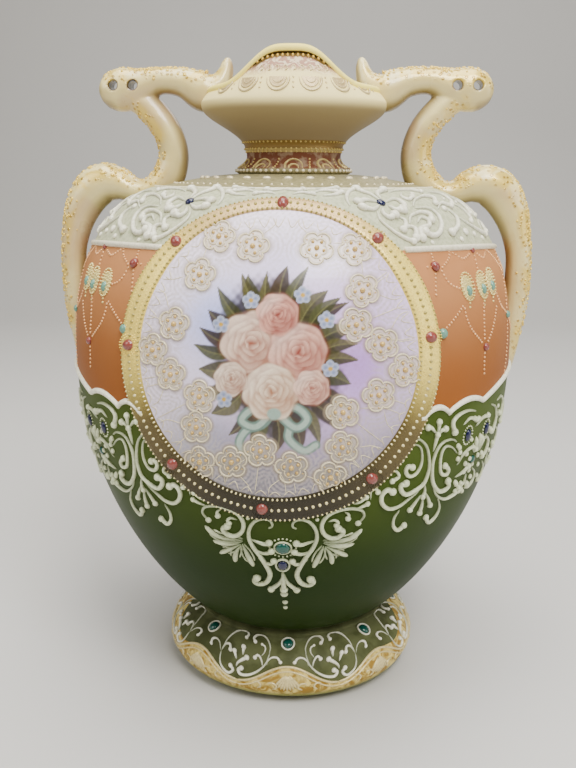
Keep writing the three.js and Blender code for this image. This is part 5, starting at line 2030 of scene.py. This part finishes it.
class VASE_OT_form(Operator):
    """The hollow body, neck, bowl, lip and foot"""
    bl_idname = "vase.form"
    bl_label = "Vase form"

    def execute(self, context):
        scene = context.scene
        form = Form(scene.vase_sizes)
        material = shared_material("painted grounds", ground_material, scene.vase_colours)
        outward(vase_form(form, scene.vase_sizes.columns, material))
        return {"FINISHED"}


class VASE_OT_handles(Operator):
    """The two scrolled handles"""
    bl_idname = "vase.handles"
    bl_label = "Handles"

    def execute(self, context):
        scene = context.scene
        material = shared_material("ivory handle glaze", handle_material, scene.vase_colours)
        outward(handles(material))
        return {"FINISHED"}


class VASE_OT_paintings(Operator):
    """The round paintings on the front and the back"""
    bl_idname = "vase.paintings"
    bl_label = "Paintings"

    def execute(self, context):
        form = Form(context.scene.vase_sizes)
        material = shared_material("painted enamel", tinted_material, "painted enamel", 0.26, coat=0.2,
                                   mottle=0.05, grain_bump=0.02)
        outward(medallion_painting(form, material))
        outward(medallion_painting(form, material, back=True))
        return {"FINISHED"}


class VASE_OT_rims(Operator):
    """The gilt rims round the paintings"""
    bl_idname = "vase.rims"
    bl_label = "Gilt rims"

    def execute(self, context):
        form = Form(context.scene.vase_sizes)
        outward(medallion_rim(form, gold_finish()))
        outward(medallion_rim(form, gold_finish(), back=True))
        return {"FINISHED"}


class VASE_OT_slip(Operator):
    """Raised white slip on the shoulder, sides, front and foot"""
    bl_idname = "vase.slip"
    bl_label = "Raised slip"

    def execute(self, context):
        form = Form(context.scene.vase_sizes)
        colours = context.scene.vase_colours
        for maker in (shoulder_slip, line_slip, festoon_slip, pendant_slip, foot_slip):
            outward(maker(form, colours))
        return {"FINISHED"}


class VASE_OT_lace(Operator):
    """Cream florets with gold beads over the paintings"""
    bl_idname = "vase.lace"
    bl_label = "Lace"

    def execute(self, context):
        form = Form(context.scene.vase_sizes)
        for back in (False, True):
            outward(lace(form, back))
            outward(lace_beads(form, back))
        return {"FINISHED"}


class VASE_OT_gilding(Operator):
    """Gold beads and raised gilding on the bands, neck, bowl, handles and foot"""
    bl_idname = "vase.gilding"
    bl_label = "Gilding"

    def execute(self, context):
        form = Form(context.scene.vase_sizes)
        for maker in (swag_gilding, neck_gilding, bowl_gilding, foot_gilding):
            outward(maker(form))
        outward(handle_gilding())
        return {"FINISHED"}


class VASE_OT_jewels(Operator):
    """Red, green and blue enamel jewels"""
    bl_idname = "vase.jewels"
    bl_label = "Jewels"

    def execute(self, context):
        outward(jewels(Form(context.scene.vase_sizes), context.scene.vase_colours))
        return {"FINISHED"}


class VASE_OT_stage(Operator):
    """Floor, lights and camera"""
    bl_idname = "vase.stage"
    bl_label = "Stage"

    def execute(self, context):
        plain_stage()
        return {"FINISHED"}


class VASE_PT_panel(Panel):
    """Sizes, colours and the pieces of the vase"""
    bl_idname = "VASE_PT_panel"
    bl_label = "Two-handled vase"
    bl_space_type = "VIEW_3D"
    bl_region_type = "UI"
    bl_category = "Vase"

    def draw(self, context):
        for group in (context.scene.vase_sizes, context.scene.vase_colours):
            box = self.layout.box()
            for key in group.__annotations__:
                box.prop(group, key)
        for operator in OPERATORS:
            self.layout.operator(operator.bl_idname)


OPERATORS = (VASE_OT_form, VASE_OT_handles, VASE_OT_paintings, VASE_OT_rims, VASE_OT_slip, VASE_OT_lace,
             VASE_OT_gilding, VASE_OT_jewels, VASE_OT_stage)
CLASSES = (VaseSizes, VaseColours, *OPERATORS, VASE_PT_panel)


def register():
    """Registers the classes and keeps the sizes and colours on the scene."""
    for each in CLASSES:
        bpy.utils.register_class(each)
    bpy.types.Scene.vase_sizes = PointerProperty(type=VaseSizes)
    bpy.types.Scene.vase_colours = PointerProperty(type=VaseColours)


def unregister():
    """Removes what register added."""
    del bpy.types.Scene.vase_colours
    del bpy.types.Scene.vase_sizes
    for each in reversed(CLASSES):
        bpy.utils.unregister_class(each)


def main():
    """Registers the add-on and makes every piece."""
    register()
    bpy.ops.vase.form()
    bpy.ops.vase.handles()
    bpy.ops.vase.paintings()
    bpy.ops.vase.rims()
    bpy.ops.vase.slip()
    bpy.ops.vase.lace()
    bpy.ops.vase.gilding()
    bpy.ops.vase.jewels()
    bpy.ops.vase.stage()


if __name__ == "__main__":
    main()
